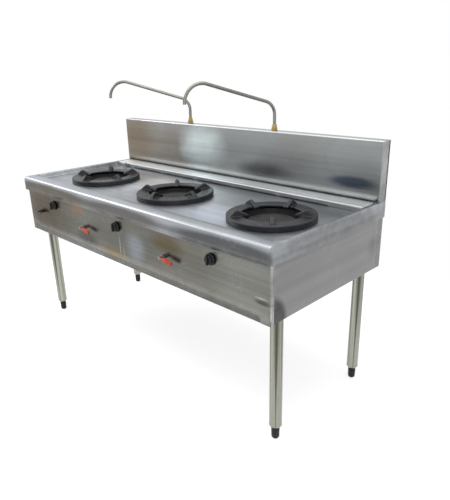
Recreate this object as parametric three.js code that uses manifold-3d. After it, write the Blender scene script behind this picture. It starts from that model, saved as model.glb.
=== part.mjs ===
// Three-burner wok range: a stainless steel cabinet on round legs, with a sunken worktop, cast-iron wok rings
// over gas burners, gas taps on the front apron and two swivelling water spouts on the backsplash.
// Millimetres. +Z up, front towards -Y. The origin is on the floor, in the middle of the whole range.
import * as THREE from 'three';
import { mergeVertices } from 'three/addons/utils/BufferGeometryUtils.js';
import Module from 'manifold-3d';

const wasm = await Module();
wasm.setup();

// ---- Driving dimensions -------------------------------------------------------------------------------

const rangeWidth = 1800;          // worktop, side to side
const panelDepth = 762;           // apron face to the back of the backsplash
const worktopHeight = 850;
const backsplashHeight = 258;     // above the worktop
const backsplashThickness = 58;
const panelHeight = 303;          // worktop's face down to the lower edge of the panels
const sheet = 2;                  // stainless sheet
const seat = 0.3;                 // clearance between pieces that touch

const lipHeight = 72;             // worktop's turned-down edge
const frontOverhang = 15;         // worktop lip in front of the apron
const sideOverhang = 4;
const bullnoseRadius = 18;
const frontBandWidth = 65;        // raised band along the front, lip face to tray
const curbWidth = 12;             // flat top of the raised side edges
const traySlope = 10;             // run of the slope from the raised edge down to the tray
const trayDepth = 24;
const ledgeDepth = 97;            // gutter cover in front of the backsplash
const drainSlotHeight = 4;
const coverFootWidth = 24;
const coverFootPitch = 290;
const gutterDepth = 36;
const gutterEndGap = 68;          // end of the tray's floor to the end of the gutter
const gutterFrontGap = 22;        // front of the ledge to the gutter
const gutterRearGap = 20;         // gutter to the front of the backsplash
const gutterLedge = 4;            // the hole over the gutter is smaller than the gutter by this
const spigotInset = 70;           // end of the gutter to the drain spigot
const spigotRadius = 16;
const spigotLength = 60;

const burnerX = [-555, 45, 645];
const burnerSetback = 304;        // apron face to the burner centres
const ringOuterRadius = 185;
const ringInnerRadius = 125;
const ringPlate = 10;             // thickness of the ring's top plate
const ringSkirt = 8;              // thickness of the ring's outer band
const ringTurn = [136, 136, -49.5]; // degrees, direction of the first lug
const lugCount = 5;
const lugRise = 24.5;             // lug peak above the ring's face
const lugPeakRadius = 146;
const lugOuterRadius = 176;
const lugInnerRadius = 99;
const lugBaseWidth = 22;
const lugTopWidth = 16;

const bowlHoleRadius = 149;
const bowlFlangeRadius = 172;
const bowlBottomRadius = 62;
const bowlWall = 3;
const bowlClearance = 55;         // injector up to the bowl's bottom edge
const headRadius = 98;
const headWall = 5;
const headRim = 30;               // height of the burner head's straight rim
const headNeckRadius = 24;
const headNeckHeight = 12;
const headConeHeight = 38;
const portCount = 10;
const portWidth = 8;
const portHeight = 9;
const portDepth = 8;
const portDrop = 8;               // head's top down to its ports

const knobX = [-608, -22, 603];
const knobDrop = 49;              // worktop's lip down to the knobs
const knobRadius = 25;
const knobDepth = 26;
const knobSkirt = 7;
const knobBodyRadius = 21;
const knobGripWidth = 11;
const spindleRadius = 4;
const spindleReach = 16;          // spindle in front of the apron

const leverX = [-768, -310, 320];
const leverDrop = 60;             // knobs down to the lever valves
const leverLength = 78;
const leverStandOff = 24;         // apron face to the middle of the lever
const leverDroop = 8;             // degrees below level when shut
const leverStrip = 3;
const leverWidth = 12;
const gripLength = 62;
const gripWidth = 20;
const gripThickness = 11;
const gripCap = 4;                // vinyl past the end of the steel strip
const wingReach = 33;             // half width of the left valve's wing handle
const wingTip = 7;
const wingNeck = 4.5;
const stemRadius = 5;
const stemEndGap = 24;            // end of a lever's stem to the manifold's axis

const pipeRadius = 13.4;          // gas manifold
const pipeSetback = 75;           // apron face to the manifold's axis
const manifoldBend = 45;
const manifoldInset = 20;         // leg to the manifold's end
const manifoldOverrun = 30;       // left lever valve to the manifold's closed end
const inletBore = 39;             // depth of the bore in the manifold's inlet
const valveRadius = 16;
const valveStubRadius = 8;
const valveEndGap = 16;           // valve body to the manifold
const outletInset = 14;           // end of the valve body to its outlet
const nozzleRadius = 7;
const injectorDrop = 39;          // knob axis down to the injector
const mixerRadius = 19;
const mixerWall = 3;
const mixerBend = 36;
const mixerRise = 50;             // injector up to the burner head's bottom
const pilotValveRise = 34;        // lever valve's axis to the manifold's drop
const pilotValveRadius = 12;
const pilotHexRadius = 15;
const pilotHexLength = 14;
const pilotBallRadius = 17;
const pilotPipeRadius = 4;
const pilotPipeDrop = 20;         // lever valve down to the pilot pipe's low run
const pilotPipeBend = 14;
const pilotFlameDrop = 10;        // head's top down to the pilot's flame
const pilotKneeDrop = 36;

const legInset = 45;              // worktop end to the leg's axis
const frontLegInset = 85;         // apron face to the leg's axis
const rearLegInset = 105;         // back face to the leg's axis
const legRadius = 25.4;
const legWall = 1.5;
const legBottom = 52;
const legConeHeight = 12;
const legConeRadius = 18;
const legCollarRadius = 26.4;
const footRadius = 17;
const footTipRadius = 12;
const footStemRadius = 8;
const footStemTop = 96;

const railWidth = 40;
const railHeight = 30;
const railWall = 3;
const railLift = 9;               // panels' lower edge up to the frame rails
const socketRadius = 31;
const socketRise = 8;             // top of the rails up to the top of the sockets
const socketRoof = 4;
const burnerRailPlate = 4;
const burnerRailPlateGrow = 12;   // plate past the bar on each side
const flangeWidth = 40;           // inward fold along the bottom of each panel
const apronReturn = 18;           // apron's fold round each front corner

const spoutX = [-305, 305];
const spoutAzimuth = [217.8, 248.7]; // degrees, where each spout points
const spoutRadius = 8;
const spoutCorner = 125;          // where riser and arm would meet, above the backsplash
const spoutReach = 455;
const spoutRise = 16.5;           // degrees, the arm's slope
const spoutBends = [66, 84];
const spoutDrop = 115.5;          // tip below the corner of the hook
const nutHeight = 30;
const nutAcross = 27;
const nutTail = 10;
const waterPipeRadius = 10.7;
const waterPipeDrop = 46;         // backsplash top down to the water pipe
const waterPipeGap = 40;          // drain spigot to the water pipe
const waterPipeBend = 30;
const waterPipeOverrun = 30;      // left spout to the pipe's closed end
const waterInletDrop = 60;        // worktop's lip down to the water inlet
const couplingRadius = 15;
const couplingLength = 24;
const nozzleInset = 118;          // worktop's end to the rinse nozzle
const nozzleSetback = 12;         // rinse nozzle to the ledge
const nozzlePostRadius = 5;
const nozzlePostHeight = 28;
const nozzleOutletRadius = 4;
const nozzleOutletLength = 30;

// Flat sides of the round pieces
const flats = {
  ring: 32, bowl: 20, head: 20, burnerHole: 24, leg: 16, foot: 12, stem: 12, knob: 20, valve: 12, mixer: 10,
  pipe: 10, spout: 10, thinPipe: 6, smallHole: 10,
};
const bendSteps = { broad: 6, tight: 3 };

// ---- Places worked out from them ----------------------------------------------------------------------

const frontReach = leverStandOff + gripThickness / 2;
const backY = (panelDepth + frontReach) / 2;
const apronY = backY - panelDepth;
const worktopHalf = rangeWidth / 2;
const worktopFrontY = apronY - frontOverhang;
const lipBottom = worktopHeight - lipHeight;
const cabinetBottom = worktopHeight - panelHeight;
const trayHeight = worktopHeight - trayDepth;
const trayFrontY = worktopFrontY + frontBandWidth;
const splashFrontY = backY - backsplashThickness;
const ledgeFrontY = splashFrontY - ledgeDepth;
const splashBottom = worktopHeight + seat;
const splashTop = worktopHeight + backsplashHeight;
const trayHalf = worktopHalf - curbWidth;
const trayFloorHalf = trayHalf - traySlope;
const coverHalf = trayFloorHalf - 0.5;

const gutterFrontY = ledgeFrontY + gutterFrontGap;
const gutterBackY = splashFrontY - gutterRearGap;
const gutterHalf = trayFloorHalf - gutterEndGap;
const spigotX = gutterHalf - spigotInset;
const waterPipeX = spigotX - waterPipeGap;
const waterPipeHeight = splashTop - waterPipeDrop;

const panelHalf = worktopHalf - sideOverhang;
const sidePanelOuter = panelHalf - sheet - seat;
const sidePanelInner = sidePanelOuter - sheet;
const backPanelY = backY - sheet - seat;
const panelTop = worktopHeight - sheet - seat;
const apronTop = panelTop - 4;

const burnerY = apronY + burnerSetback;
const ringBottom = trayHeight + seat;
const pipeY = apronY + pipeSetback;
const knobHeight = lipBottom - knobDrop;
const leverHeight = knobHeight - leverDrop;
const stubBottom = leverHeight + pilotValveRise;
const injectorHeight = knobHeight - injectorDrop;
const bowlBottomHeight = injectorHeight + bowlClearance;
const headBottom = injectorHeight + mixerRise;
const headTopHeight = headBottom + headNeckHeight + headConeHeight + headRim;
const mixerTop = headBottom - seat;
const burnerRailY = burnerY - mixerBend;
const burnerRailTop = injectorHeight - mixerRadius - seat;
const burnerRailBottom = burnerRailTop - railHeight;

const legX = worktopHalf - legInset;
const manifoldX = legX - manifoldInset;
const frontLegY = apronY + frontLegInset;
const rearLegY = backY - rearLegInset;
const railBottom = cabinetBottom + railLift;
const socketTop = railBottom + railHeight + socketRise;
const legTop = socketTop - socketRoof - seat;
const spoutY = backY - backsplashThickness / 2;

// ---- Finishes -----------------------------------------------------------------------------------------

const finishes = {
  brushedSteel: { color: 0xa3a5a3, roughness: 0.34, metalness: 1 },
  polishedSteel: { color: 0xb4b4b0, roughness: 0.16, metalness: 1 },
  castIron: { color: 0x24252a, roughness: 0.62, metalness: 0.4 },
  burnerIron: { color: 0x4c4d4b, roughness: 0.7, metalness: 0.5 },
  brass: { color: 0x9d8556, roughness: 0.35, metalness: 1 },
  blackPlastic: { color: 0x121214, roughness: 0.45, metalness: 0 },
  darkZinc: { color: 0x3d3f4a, roughness: 0.4, metalness: 0.8 },
  orangeVinyl: { color: 0xc8502c, roughness: 0.5, metalness: 0 },
  paintedFrame: { color: 0x6f7275, roughness: 0.5, metalness: 0.6 },
  gasPipe: { color: 0x83857f, roughness: 0.45, metalness: 0.9 },
};

// ---- Shape tools --------------------------------------------------------------------------------------

const degrees = Math.PI / 180;

/** Turns a closed three.js geometry into a solid, with its faces pointing out. */
function solidOf(geometry) {
  const bare = geometry.clone();
  for (const name of Object.keys(bare.attributes)) {
    if (name !== 'position') bare.deleteAttribute(name);
  }
  const merged = mergeVertices(bare, 1e-4);
  const at = merged.attributes.position;
  const index = merged.index.array;
  const corners = [];
  let sixVolumes = 0;
  const [a, b, c] = [new THREE.Vector3(), new THREE.Vector3(), new THREE.Vector3()];
  for (let i = 0; i < index.length; i += 3) {
    const [p, q, r] = [index[i], index[i + 1], index[i + 2]];
    if (p === q || q === r || r === p) continue;
    corners.push([p, q, r]);
    c.fromBufferAttribute(at, r);
    sixVolumes += a.fromBufferAttribute(at, p).dot(b.fromBufferAttribute(at, q).cross(c));
  }
  const triVerts = new Uint32Array(corners.flatMap(([p, q, r]) => (sixVolumes < 0 ? [p, r, q] : [p, q, r])));
  const vertProperties = new Float32Array(at.array);
  return new wasm.Manifold(new wasm.Mesh({ numProp: 3, vertProperties, triVerts }));
}

/** Gives a solid's surface back as a three.js geometry. */
function geometryOf(solid) {
  const mesh = solid.getMesh();
  const geometry = new THREE.BufferGeometry();
  geometry.setAttribute('position', new THREE.BufferAttribute(Float32Array.from(mesh.vertProperties), 3));
  geometry.setIndex(new THREE.BufferAttribute(Uint32Array.from(mesh.triVerts), 1));
  geometry.computeVertexNormals();
  return geometry;
}

const union = (solids) => solids.reduce((sum, solid) => sum.add(solid));
const cut = (solid, tools) => tools.reduce((rest, tool) => rest.subtract(tool), solid);

/** A rectangular block between two corners. */
function block([x0, x1], [y0, y1], [z0, z1]) {
  const geometry = new THREE.BoxGeometry(x1 - x0, y1 - y0, z1 - z0);
  geometry.translate((x0 + x1) / 2, (y0 + y1) / 2, (z0 + z1) / 2);
  return solidOf(geometry);
}

/** A block whose bottom face is drawn in by a given run at its two ends and its front. */
function taperedBlock([x0, x1], [y0, y1], [z0, z1], run) {
  const geometry = new THREE.BoxGeometry(x1 - x0, y1 - y0, z1 - z0);
  geometry.translate((x0 + x1) / 2, (y0 + y1) / 2, (z0 + z1) / 2);
  const at = geometry.attributes.position;
  for (let i = 0; i < at.count; i += 1) {
    if (at.getZ(i) < (z0 + z1) / 2) {
      at.setX(i, at.getX(i) + (at.getX(i) < (x0 + x1) / 2 ? run : -run));
      at.setY(i, at.getY(i) + (at.getY(i) < (y0 + y1) / 2 ? run : 0));
    }
  }
  return solidOf(geometry);
}

/** Turns a direction into the rotation that carries +Z onto it. */
const towards = (direction) => new THREE.Quaternion().setFromUnitVectors(
  new THREE.Vector3(0, 0, 1), new THREE.Vector3(...direction).normalize());

/** A profile of [radius, height] points turned round an axis that starts at a point. */
function revolve(profile, sides, start = [0, 0, 0], direction = [0, 0, 1]) {
  const geometry = new THREE.LatheGeometry(profile.map(([r, z]) => new THREE.Vector2(r, z)), sides);
  geometry.rotateX(Math.PI / 2);
  geometry.applyQuaternion(towards(direction));
  geometry.translate(...start);
  return solidOf(geometry);
}

/** A round bar or disc from a start point along a direction; taper is the radius at its far end. */
const rod = (radius, length, sides, start, direction = [0, 0, 1], taper = radius) => revolve(
  [[0, 0], [radius, 0], [taper, length], [0, length]], sides, start, direction);

/** The corner radius of a bore whose flat sides stay clear of a round of a given radius. */
const boreRadius = (radius, sides) => radius / Math.cos(Math.PI / sides);

/** The tool that cuts a round hole for something of a given radius. */
const hole = (radius, length, sides, start, direction) => rod(
  boreRadius(radius, sides), length, sides, start, direction);

/** An outline in Y and Z carried along X. */
function extrudeAlongX(shape, x0, x1, curveSegments = 6) {
  const geometry = new THREE.ExtrudeGeometry(shape, { depth: x1 - x0, bevelEnabled: false, curveSegments });
  const [x, y, z] = [new THREE.Vector3(1, 0, 0), new THREE.Vector3(0, 1, 0), new THREE.Vector3(0, 0, 1)];
  geometry.applyMatrix4(new THREE.Matrix4().makeBasis(y, z, x));
  geometry.translate(x0, 0, 0);
  return solidOf(geometry);
}

/** The outline of a sheet's edge in Y and Z: square at the back, rounded along the top front. */
function frontRoundedOutline(frontY, rearY, bottomZ, topZ, radius) {
  const shape = new THREE.Shape();
  shape.moveTo(frontY, bottomZ);
  shape.lineTo(frontY, topZ - radius);
  shape.absarc(frontY + radius, topZ - radius, radius, Math.PI, Math.PI / 2, true);
  shape.lineTo(rearY, topZ);
  shape.lineTo(rearY, bottomZ);
  shape.closePath();
  return shape;
}

/** Stations along straight runs joined by round bends: one bend radius for each inner corner. */
function route(corners, radii, steps) {
  const points = corners.map((corner) => new THREE.Vector3(...corner));
  const stations = [];
  const add = (position, tangent) => stations.push({ position, tangent: tangent.clone().normalize() });
  add(points[0], points[1].clone().sub(points[0]));
  radii.forEach((radius, i) => {
    const corner = points[i + 1];
    const inward = corner.clone().sub(points[i]).normalize();
    const outward = points[i + 2].clone().sub(corner).normalize();
    const turn = inward.angleTo(outward);
    const trim = radius * Math.tan(turn / 2);
    const side = outward.clone().sub(inward.clone().multiplyScalar(inward.dot(outward))).normalize();
    const start = corner.clone().addScaledVector(inward, -trim);
    for (let k = 0; k <= steps; k += 1) {
      const angle = (turn * k) / steps;
      const position = start.clone().addScaledVector(inward, radius * Math.sin(angle))
        .addScaledVector(side, radius * (1 - Math.cos(angle)));
      add(position, inward.clone().multiplyScalar(Math.cos(angle)).addScaledVector(side, Math.sin(angle)));
    }
  });
  add(points.at(-1), points.at(-1).clone().sub(points.at(-2)));
  return stations;
}

/** A curve that visits its stations one by one. */
class StationCurve extends THREE.Curve {
  constructor(stations) {
    super();
    this.stations = stations;
  }

  stationAt(u) {
    return this.stations[Math.round(u * (this.stations.length - 1))];
  }

  getPointAt(u, target = new THREE.Vector3()) {
    return target.copy(this.stationAt(u).position);
  }

  getTangentAt(u, target = new THREE.Vector3()) {
    return target.copy(this.stationAt(u).tangent);
  }
}

/** A round pipe along a route of stations, solid, or hollow with open ends where a wall is given. */
function pipe(stations, radius, sides, wall = 0) {
  const ring = (r) => Array.from({ length: sides }, (_, i) => new THREE.Vector2(
    r * Math.cos((2 * Math.PI * i) / sides), r * Math.sin((2 * Math.PI * i) / sides)));
  const section = new THREE.Shape(ring(radius));
  if (wall > 0) section.holes.push(new THREE.Path(ring(radius - wall)));
  const curve = new StationCurve(stations);
  return solidOf(new THREE.ExtrudeGeometry(section, { extrudePath: curve, steps: stations.length - 1 }));
}


// ---- Worktop, gutter and backsplash -------------------------------------------------------------------

/** The tray's hollow, grown outwards by a margin, from its floor up to a height; sides and front slope. */
function trayTool(margin, top) {
  const floor = trayHeight - margin;
  const run = (traySlope / trayDepth) * (top - floor);
  const half = trayHalf + margin + (traySlope / trayDepth) * (top - worktopHeight);
  const front = trayFrontY - margin - (traySlope / trayDepth) * (top - worktopHeight);
  return taperedBlock([-half, half], [front, splashFrontY + margin], [floor, top], run);
}

/** The pressed worktop: a sheet with a rounded front edge, a turned-down lip all round and a sunken tray. */
function worktop() {
  const outline = frontRoundedOutline(worktopFrontY, backY, lipBottom, worktopHeight, bullnoseRadius);
  const outer = extrudeAlongX(outline, -worktopHalf, worktopHalf);
  const hollow = extrudeAlongX(
    frontRoundedOutline(worktopFrontY + sheet, backY - sheet, lipBottom - 1, worktopHeight - sheet,
      bullnoseRadius - sheet), -worktopHalf + sheet, worktopHalf - sheet);
  const hem = block([-worktopHalf + sheet, worktopHalf - sheet], [worktopFrontY + sheet / 2, apronY - seat],
    [lipBottom, lipBottom + sheet]);
  const recess = trayTool(0, worktopHeight + trayDepth);
  const cup = trayTool(sheet, worktopHeight);
  const burnerHoles = burnerX.map((x) => hole(
    bowlHoleRadius, 10, flats.burnerHole, [x, burnerY, trayHeight - 5]));
  const gutterHole = block([gutterLedge - gutterHalf, gutterHalf - gutterLedge],
    [gutterFrontY + gutterLedge, gutterBackY - gutterLedge], [trayHeight - 5, trayHeight + 5]);
  const waterHole = hole(waterPipeRadius + 2, 10, flats.smallHole, [waterPipeX, spoutY, worktopHeight - 5]);
  return cut(union([outer.subtract(hollow), hem, cup]), [recess, ...burnerHoles, gutterHole, waterHole]);
}

/** The raised ledge over the water gutter, on short feet with drain slots between them. */
function gutterCover() {
  const bottom = trayHeight + seat;
  const rearY = splashFrontY - seat;
  const body = block([-coverHalf, coverHalf], [ledgeFrontY, rearY], [bottom, worktopHeight]);
  const inside = block([-coverHalf + sheet, coverHalf - sheet], [ledgeFrontY + sheet, rearY - sheet],
    [bottom - 1, worktopHeight - sheet]);
  const slots = [];
  const slotLength = coverFootPitch - coverFootWidth;
  const slotCount = Math.floor((2 * coverHalf - coverFootWidth) / coverFootPitch);
  const first = -((slotCount - 1) * coverFootPitch) / 2;
  for (let i = 0; i < slotCount; i += 1) {
    const x = first + i * coverFootPitch;
    slots.push(block([x - slotLength / 2, x + slotLength / 2], [ledgeFrontY - 1, ledgeFrontY + sheet + 1],
      [bottom - 1, bottom + drainSlotHeight]));
  }
  return cut(body, [inside, ...slots]);
}

/** The water gutter under the ledge, with its drain spigot. */
function gutterChannel() {
  const top = trayHeight - sheet - seat;
  const bottom = top - gutterDepth;
  const y = (gutterFrontY + gutterBackY) / 2;
  const trough = block([-gutterHalf, gutterHalf], [gutterFrontY, gutterBackY], [bottom, top]);
  const spigotBottom = [spigotX, y, bottom - spigotLength];
  const spigot = rod(spigotRadius, spigotLength + sheet / 2, flats.valve, spigotBottom);
  const inside = block([-gutterHalf + sheet, gutterHalf - sheet], [gutterFrontY + sheet, gutterBackY - sheet],
    [bottom + sheet, top + 1]);
  const bore = rod(spigotRadius - sheet, spigotLength + 2 * sheet + 2, flats.valve,
    [spigotX, y, bottom - spigotLength - 1]);
  return cut(trough.add(spigot), [inside, bore]);
}

function backsplashShell() {
  const fold = 4;
  const outer = extrudeAlongX(
    frontRoundedOutline(splashFrontY, backY, splashBottom, splashTop, fold), -worktopHalf, worktopHalf, 3);
  const inside = extrudeAlongX(
    frontRoundedOutline(splashFrontY + sheet, backY + 1, splashBottom - 1, splashTop - sheet, fold - sheet),
    -worktopHalf + sheet, worktopHalf - sheet, 3);
  const tailHoles = spoutX.map((x) => hole(spoutRadius + 2, 10, flats.smallHole, [x, spoutY, splashTop - 5]));
  return cut(outer, [inside, ...tailHoles]);
}

function backsplashRearCover() {
  const half = worktopHalf - sheet - seat;
  return block([-half, half], [backY - sheet, backY], [splashBottom, splashTop - sheet - seat]);
}

// ---- Cabinet panels and frame -------------------------------------------------------------------------

/** The front panel, folded round both front corners and inwards along the bottom. */
function frontApron() {
  const face = block([-panelHalf, panelHalf], [apronY, apronY + sheet], [cabinetBottom, apronTop]);
  const returns = [-1, 1].map((side) => block(
    [side < 0 ? -panelHalf : panelHalf - sheet, side < 0 ? -panelHalf + sheet : panelHalf],
    [apronY, apronY + apronReturn], [cabinetBottom, apronTop]));
  const clear = sidePanelInner - flangeWidth - seat;
  const flange = block([-clear, clear], [apronY, apronY + flangeWidth],
    [cabinetBottom, cabinetBottom + sheet]);
  const through = (x, z, radius) => hole(radius, 10, flats.smallHole, [x, apronY - 4, z], [0, 1, 0]);
  const knobHoles = knobX.map((x) => through(x, knobHeight, spindleRadius + 3));
  const leverHoles = leverX.map((x) => through(x, leverHeight, stemRadius + 4));
  return cut(union([face, ...returns, flange]), [...knobHoles, ...leverHoles]);
}

/** One end panel, folded inwards along the bottom round the two legs. */
function sidePanel(side) {
  const span = (near, far) => (side < 0 ? [-far, -near] : [near, far]);
  const depth = [apronY + sheet + seat, backPanelY];
  const wall = block(span(sidePanelInner, sidePanelOuter), depth, [cabinetBottom, panelTop]);
  const flange = block(span(sidePanelInner - flangeWidth, sidePanelOuter),
    [depth[0], backPanelY - sheet - seat], [cabinetBottom, cabinetBottom + sheet]);
  const legHoles = [frontLegY, rearLegY].map((y) => hole(
    legRadius + 1, 10, flats.leg, [side * legX, y, cabinetBottom - 4]));
  return cut(wall.add(flange), legHoles);
}

function backPanel() {
  const half = sidePanelInner - seat;
  const wall = block([-half, half], [backPanelY - sheet, backPanelY], [cabinetBottom, panelTop]);
  const clear = half - flangeWidth;
  const flange = block([-clear, clear], [backPanelY - flangeWidth, backPanelY],
    [cabinetBottom, cabinetBottom + sheet]);
  const inletHole = hole(pipeRadius + 4, 12, flats.pipe, [manifoldX, backPanelY - 8, knobHeight], [0, 1, 0]);
  return cut(wall.add(flange), [inletHole]);
}

/** An end frame: a channel rail, open below, from front to back with a socket for the top of each leg. */
function sideFrame(side) {
  const x = side * legX;
  const overrun = socketRadius + 4;
  const rail = block([x - railWidth / 2, x + railWidth / 2], [frontLegY - overrun, rearLegY + overrun],
    [railBottom, railBottom + railHeight]);
  const hollow = block([x - railWidth / 2 + railWall, x + railWidth / 2 - railWall],
    [frontLegY - overrun - 1, rearLegY + overrun + 1], [railBottom - 1, railBottom + railHeight - railWall]);
  const socketBottom = cabinetBottom + sheet + seat;
  const sockets = [frontLegY, rearLegY].map((y) => rod(
    socketRadius, socketTop - socketBottom, flats.leg, [x, y, socketBottom]));
  const bores = [frontLegY, rearLegY].map((y) => hole(
    legRadius + seat, legTop + seat - socketBottom + 1, flats.leg, [x, y, socketBottom - 1]));
  return cut(union([rail.subtract(hollow), ...sockets]), bores);
}

/** A cross rail between the two end frames, at the front or the rear legs. */
function crossRail(y) {
  const half = legX - socketRadius - seat;
  const tube = (margin) => [[y - railHeight / 2 + margin, y + railHeight / 2 - margin],
    [railBottom + margin, railBottom + railHeight - margin]];
  return block([-half, half], ...tube(0)).subtract(block([-half - 1, half + 1], ...tube(railWall)));
}

/** The channel bar under the three burners, bolted to the end panels by a plate at each end. */
function burnerRail() {
  const half = sidePanelInner - seat;
  const y = [burnerRailY - railHeight / 2, burnerRailY + railHeight / 2];
  const bar = block([-half, half], y, [burnerRailBottom, burnerRailTop]);
  const hollow = block([-half + 1, half - 1], [y[0] + railWall, y[1] - railWall],
    [burnerRailBottom - 1, burnerRailTop - railWall]);
  const grow = burnerRailPlateGrow;
  const plates = [[-half, burnerRailPlate - half], [half - burnerRailPlate, half]].map((x) => block(
    x, [y[0] - grow, y[1] + grow], [burnerRailBottom - grow, burnerRailTop + grow]));
  return union([bar.subtract(hollow), ...plates]);
}

/** A polished tube leg, open at the top, with a coned plug at the bottom for the foot's stem. */
function leg(x, y) {
  const plugTop = legBottom + legConeHeight;
  const inner = legRadius - legWall;
  const bore = boreRadius(footStemRadius + seat, flats.leg);
  const profile = [
    [bore, legBottom], [legConeRadius, legBottom], [legCollarRadius, plugTop], [legCollarRadius, plugTop + 4],
    [legRadius, plugTop + 6], [legRadius, legTop], [inner, legTop], [inner, plugTop + 6], [bore, plugTop + 6],
    [bore, legBottom],
  ];
  return revolve(profile, flats.leg, [x, y, 0]);
}

/** A screw-in bullet foot with its stem. */
function foot(x, y) {
  const top = legBottom - seat;
  const profile = [
    [0, 0], [footTipRadius, 0], [footTipRadius + 3, 4], [footRadius, top - 10], [footRadius, top],
    [footStemRadius, top], [footStemRadius, footStemTop], [0, footStemTop],
  ];
  return revolve(profile, flats.foot, [x, y, 0]);
}

// ---- Burners ------------------------------------------------------------------------------------------

/** One lug of a wok ring, pointing along +X: a bar that peaks near its outer end and slopes down inwards. */
function lug() {
  const face = worktopHeight;
  const side = new THREE.Shape();
  side.moveTo(lugOuterRadius, face - 3);
  side.lineTo(lugOuterRadius, face);
  side.lineTo(lugPeakRadius + 4, face + lugRise);
  side.lineTo(lugPeakRadius - 4, face + lugRise);
  side.lineTo(lugInnerRadius, face + 2);
  side.lineTo(lugInnerRadius + 2, face - 6);
  side.lineTo(ringInnerRadius + 4, face - 9);
  side.closePath();
  const bar = new THREE.ExtrudeGeometry(side, { depth: lugBaseWidth, bevelEnabled: false });
  bar.rotateX(Math.PI / 2);
  bar.translate(0, lugBaseWidth / 2, 0);
  const roof = new THREE.Shape();
  roof.moveTo(-lugBaseWidth / 2, face - 12);
  roof.lineTo(lugBaseWidth / 2, face - 12);
  roof.lineTo(lugBaseWidth / 2, face + 2);
  roof.lineTo(lugTopWidth / 2, face + lugRise + 1);
  roof.lineTo(-lugTopWidth / 2, face + lugRise + 1);
  roof.lineTo(-lugBaseWidth / 2, face + 2);
  roof.closePath();
  return solidOf(bar).intersect(extrudeAlongX(roof, lugInnerRadius - 5, lugOuterRadius + 5));
}

/** A cast-iron wok ring: a flat ring with a deep outer band and lugs that hold a round wok. */
function wokRing(x, turn) {
  const top = worktopHeight;
  const edge = 2.5;
  const bandInner = ringOuterRadius - ringSkirt;
  const profile = [
    [ringOuterRadius, ringBottom], [ringOuterRadius, top - edge], [ringOuterRadius - edge, top],
    [ringInnerRadius + edge, top], [ringInnerRadius, top - edge], [ringInnerRadius, top - ringPlate],
    [bandInner, top - ringPlate], [bandInner, ringBottom], [ringOuterRadius, ringBottom],
  ];
  const ring = revolve(profile, flats.ring);
  const one = lug();
  const lugs = Array.from({ length: lugCount }, (_, i) => one.rotate([0, 0, turn + (360 / lugCount) * i]));
  return union([ring, ...lugs]).translate([x, burnerY, 0]);
}

/** The fire bowl: a flange on the tray, and a bowl down to an open bottom. */
function fireBowl(x) {
  const rim = trayHeight + seat;
  const outerRadius = bowlHoleRadius - 0.7;
  const steps = 3;
  const quarter = (bottomZ, topZ, radius) => Array.from({ length: steps + 1 }, (_, i) => {
    const t = (Math.PI / 2) * (i / steps);
    const r = bowlBottomRadius + (radius - bowlBottomRadius) * Math.sin(t);
    return [r, bottomZ + (topZ - bottomZ) * (1 - Math.cos(t))];
  });
  const under = quarter(bowlBottomHeight, rim, outerRadius);
  const inside = quarter(bowlBottomHeight + bowlWall, rim + bowlWall, outerRadius - bowlWall).reverse();
  const flange = [[bowlFlangeRadius, rim], [bowlFlangeRadius, rim + bowlWall]];
  const profile = [...under, ...flange, ...inside, under[0]];
  return revolve(profile, flats.bowl, [x, burnerY, 0]);
}

/** The burner head: a hollow drum with a flat top and gas ports round its rim. */
function burnerHead(x) {
  const top = headTopHeight;
  const rimBottom = top - headRim;
  const wall = headWall;
  const bore = headNeckRadius - wall;
  const neckTop = headBottom + headNeckHeight;
  const profile = [
    [bore, headBottom], [headNeckRadius, headBottom], [headNeckRadius, neckTop], [headRadius, rimBottom],
    [headRadius, top - 3], [headRadius - 3, top], [0, top], [0, top - wall], [headRadius - wall, top - wall],
    [headRadius - wall, rimBottom + wall / 2], [bore, neckTop + wall], [bore, headBottom],
  ];
  const ports = Array.from({ length: portCount }, (_, i) => block(
    [headRadius - portDepth, headRadius + 2], [-portWidth / 2, portWidth / 2],
    [top - portDrop - portHeight, top - portDrop]).rotate([0, 0, (360 / portCount) * i]));
  return cut(revolve(profile, flats.head), ports).translate([x, burnerY, 0]);
}

/** The mixing tube from the injector, under the bowl and up to the burner head. */
function mixingTube(x, valveX) {
  const start = [valveX, pipeY + 5, injectorHeight];
  const under = [x, burnerY, injectorHeight];
  const stations = route([start, under, [x, burnerY, mixerTop]], [mixerBend], bendSteps.tight);
  return pipe(stations, mixerRadius, flats.mixer, mixerWall);
}

// ---- Gas train ----------------------------------------------------------------------------------------

/** The gas pipe behind the apron, with a drop to each lever valve and its inlet end in the back panel. */
function gasManifold() {
  const left = leverX[0] - manifoldOverrun;
  const z = knobHeight;
  const corners = [[left, pipeY, z], [manifoldX, pipeY, z], [manifoldX, backPanelY, z]];
  const stations = route(corners, [manifoldBend], bendSteps.tight);
  const drops = leverX.map((x) => rod(stemRadius + 2, z - stubBottom, flats.stem, [x, pipeY, stubBottom]));
  const inletStart = [manifoldX, backPanelY - inletBore, z];
  const inlet = rod(pipeRadius - 4, inletBore + 1, flats.pipe, inletStart, [0, 1, 0]);
  return union([pipe(stations, pipeRadius, flats.pipe), ...drops]).subtract(inlet);
}

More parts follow.
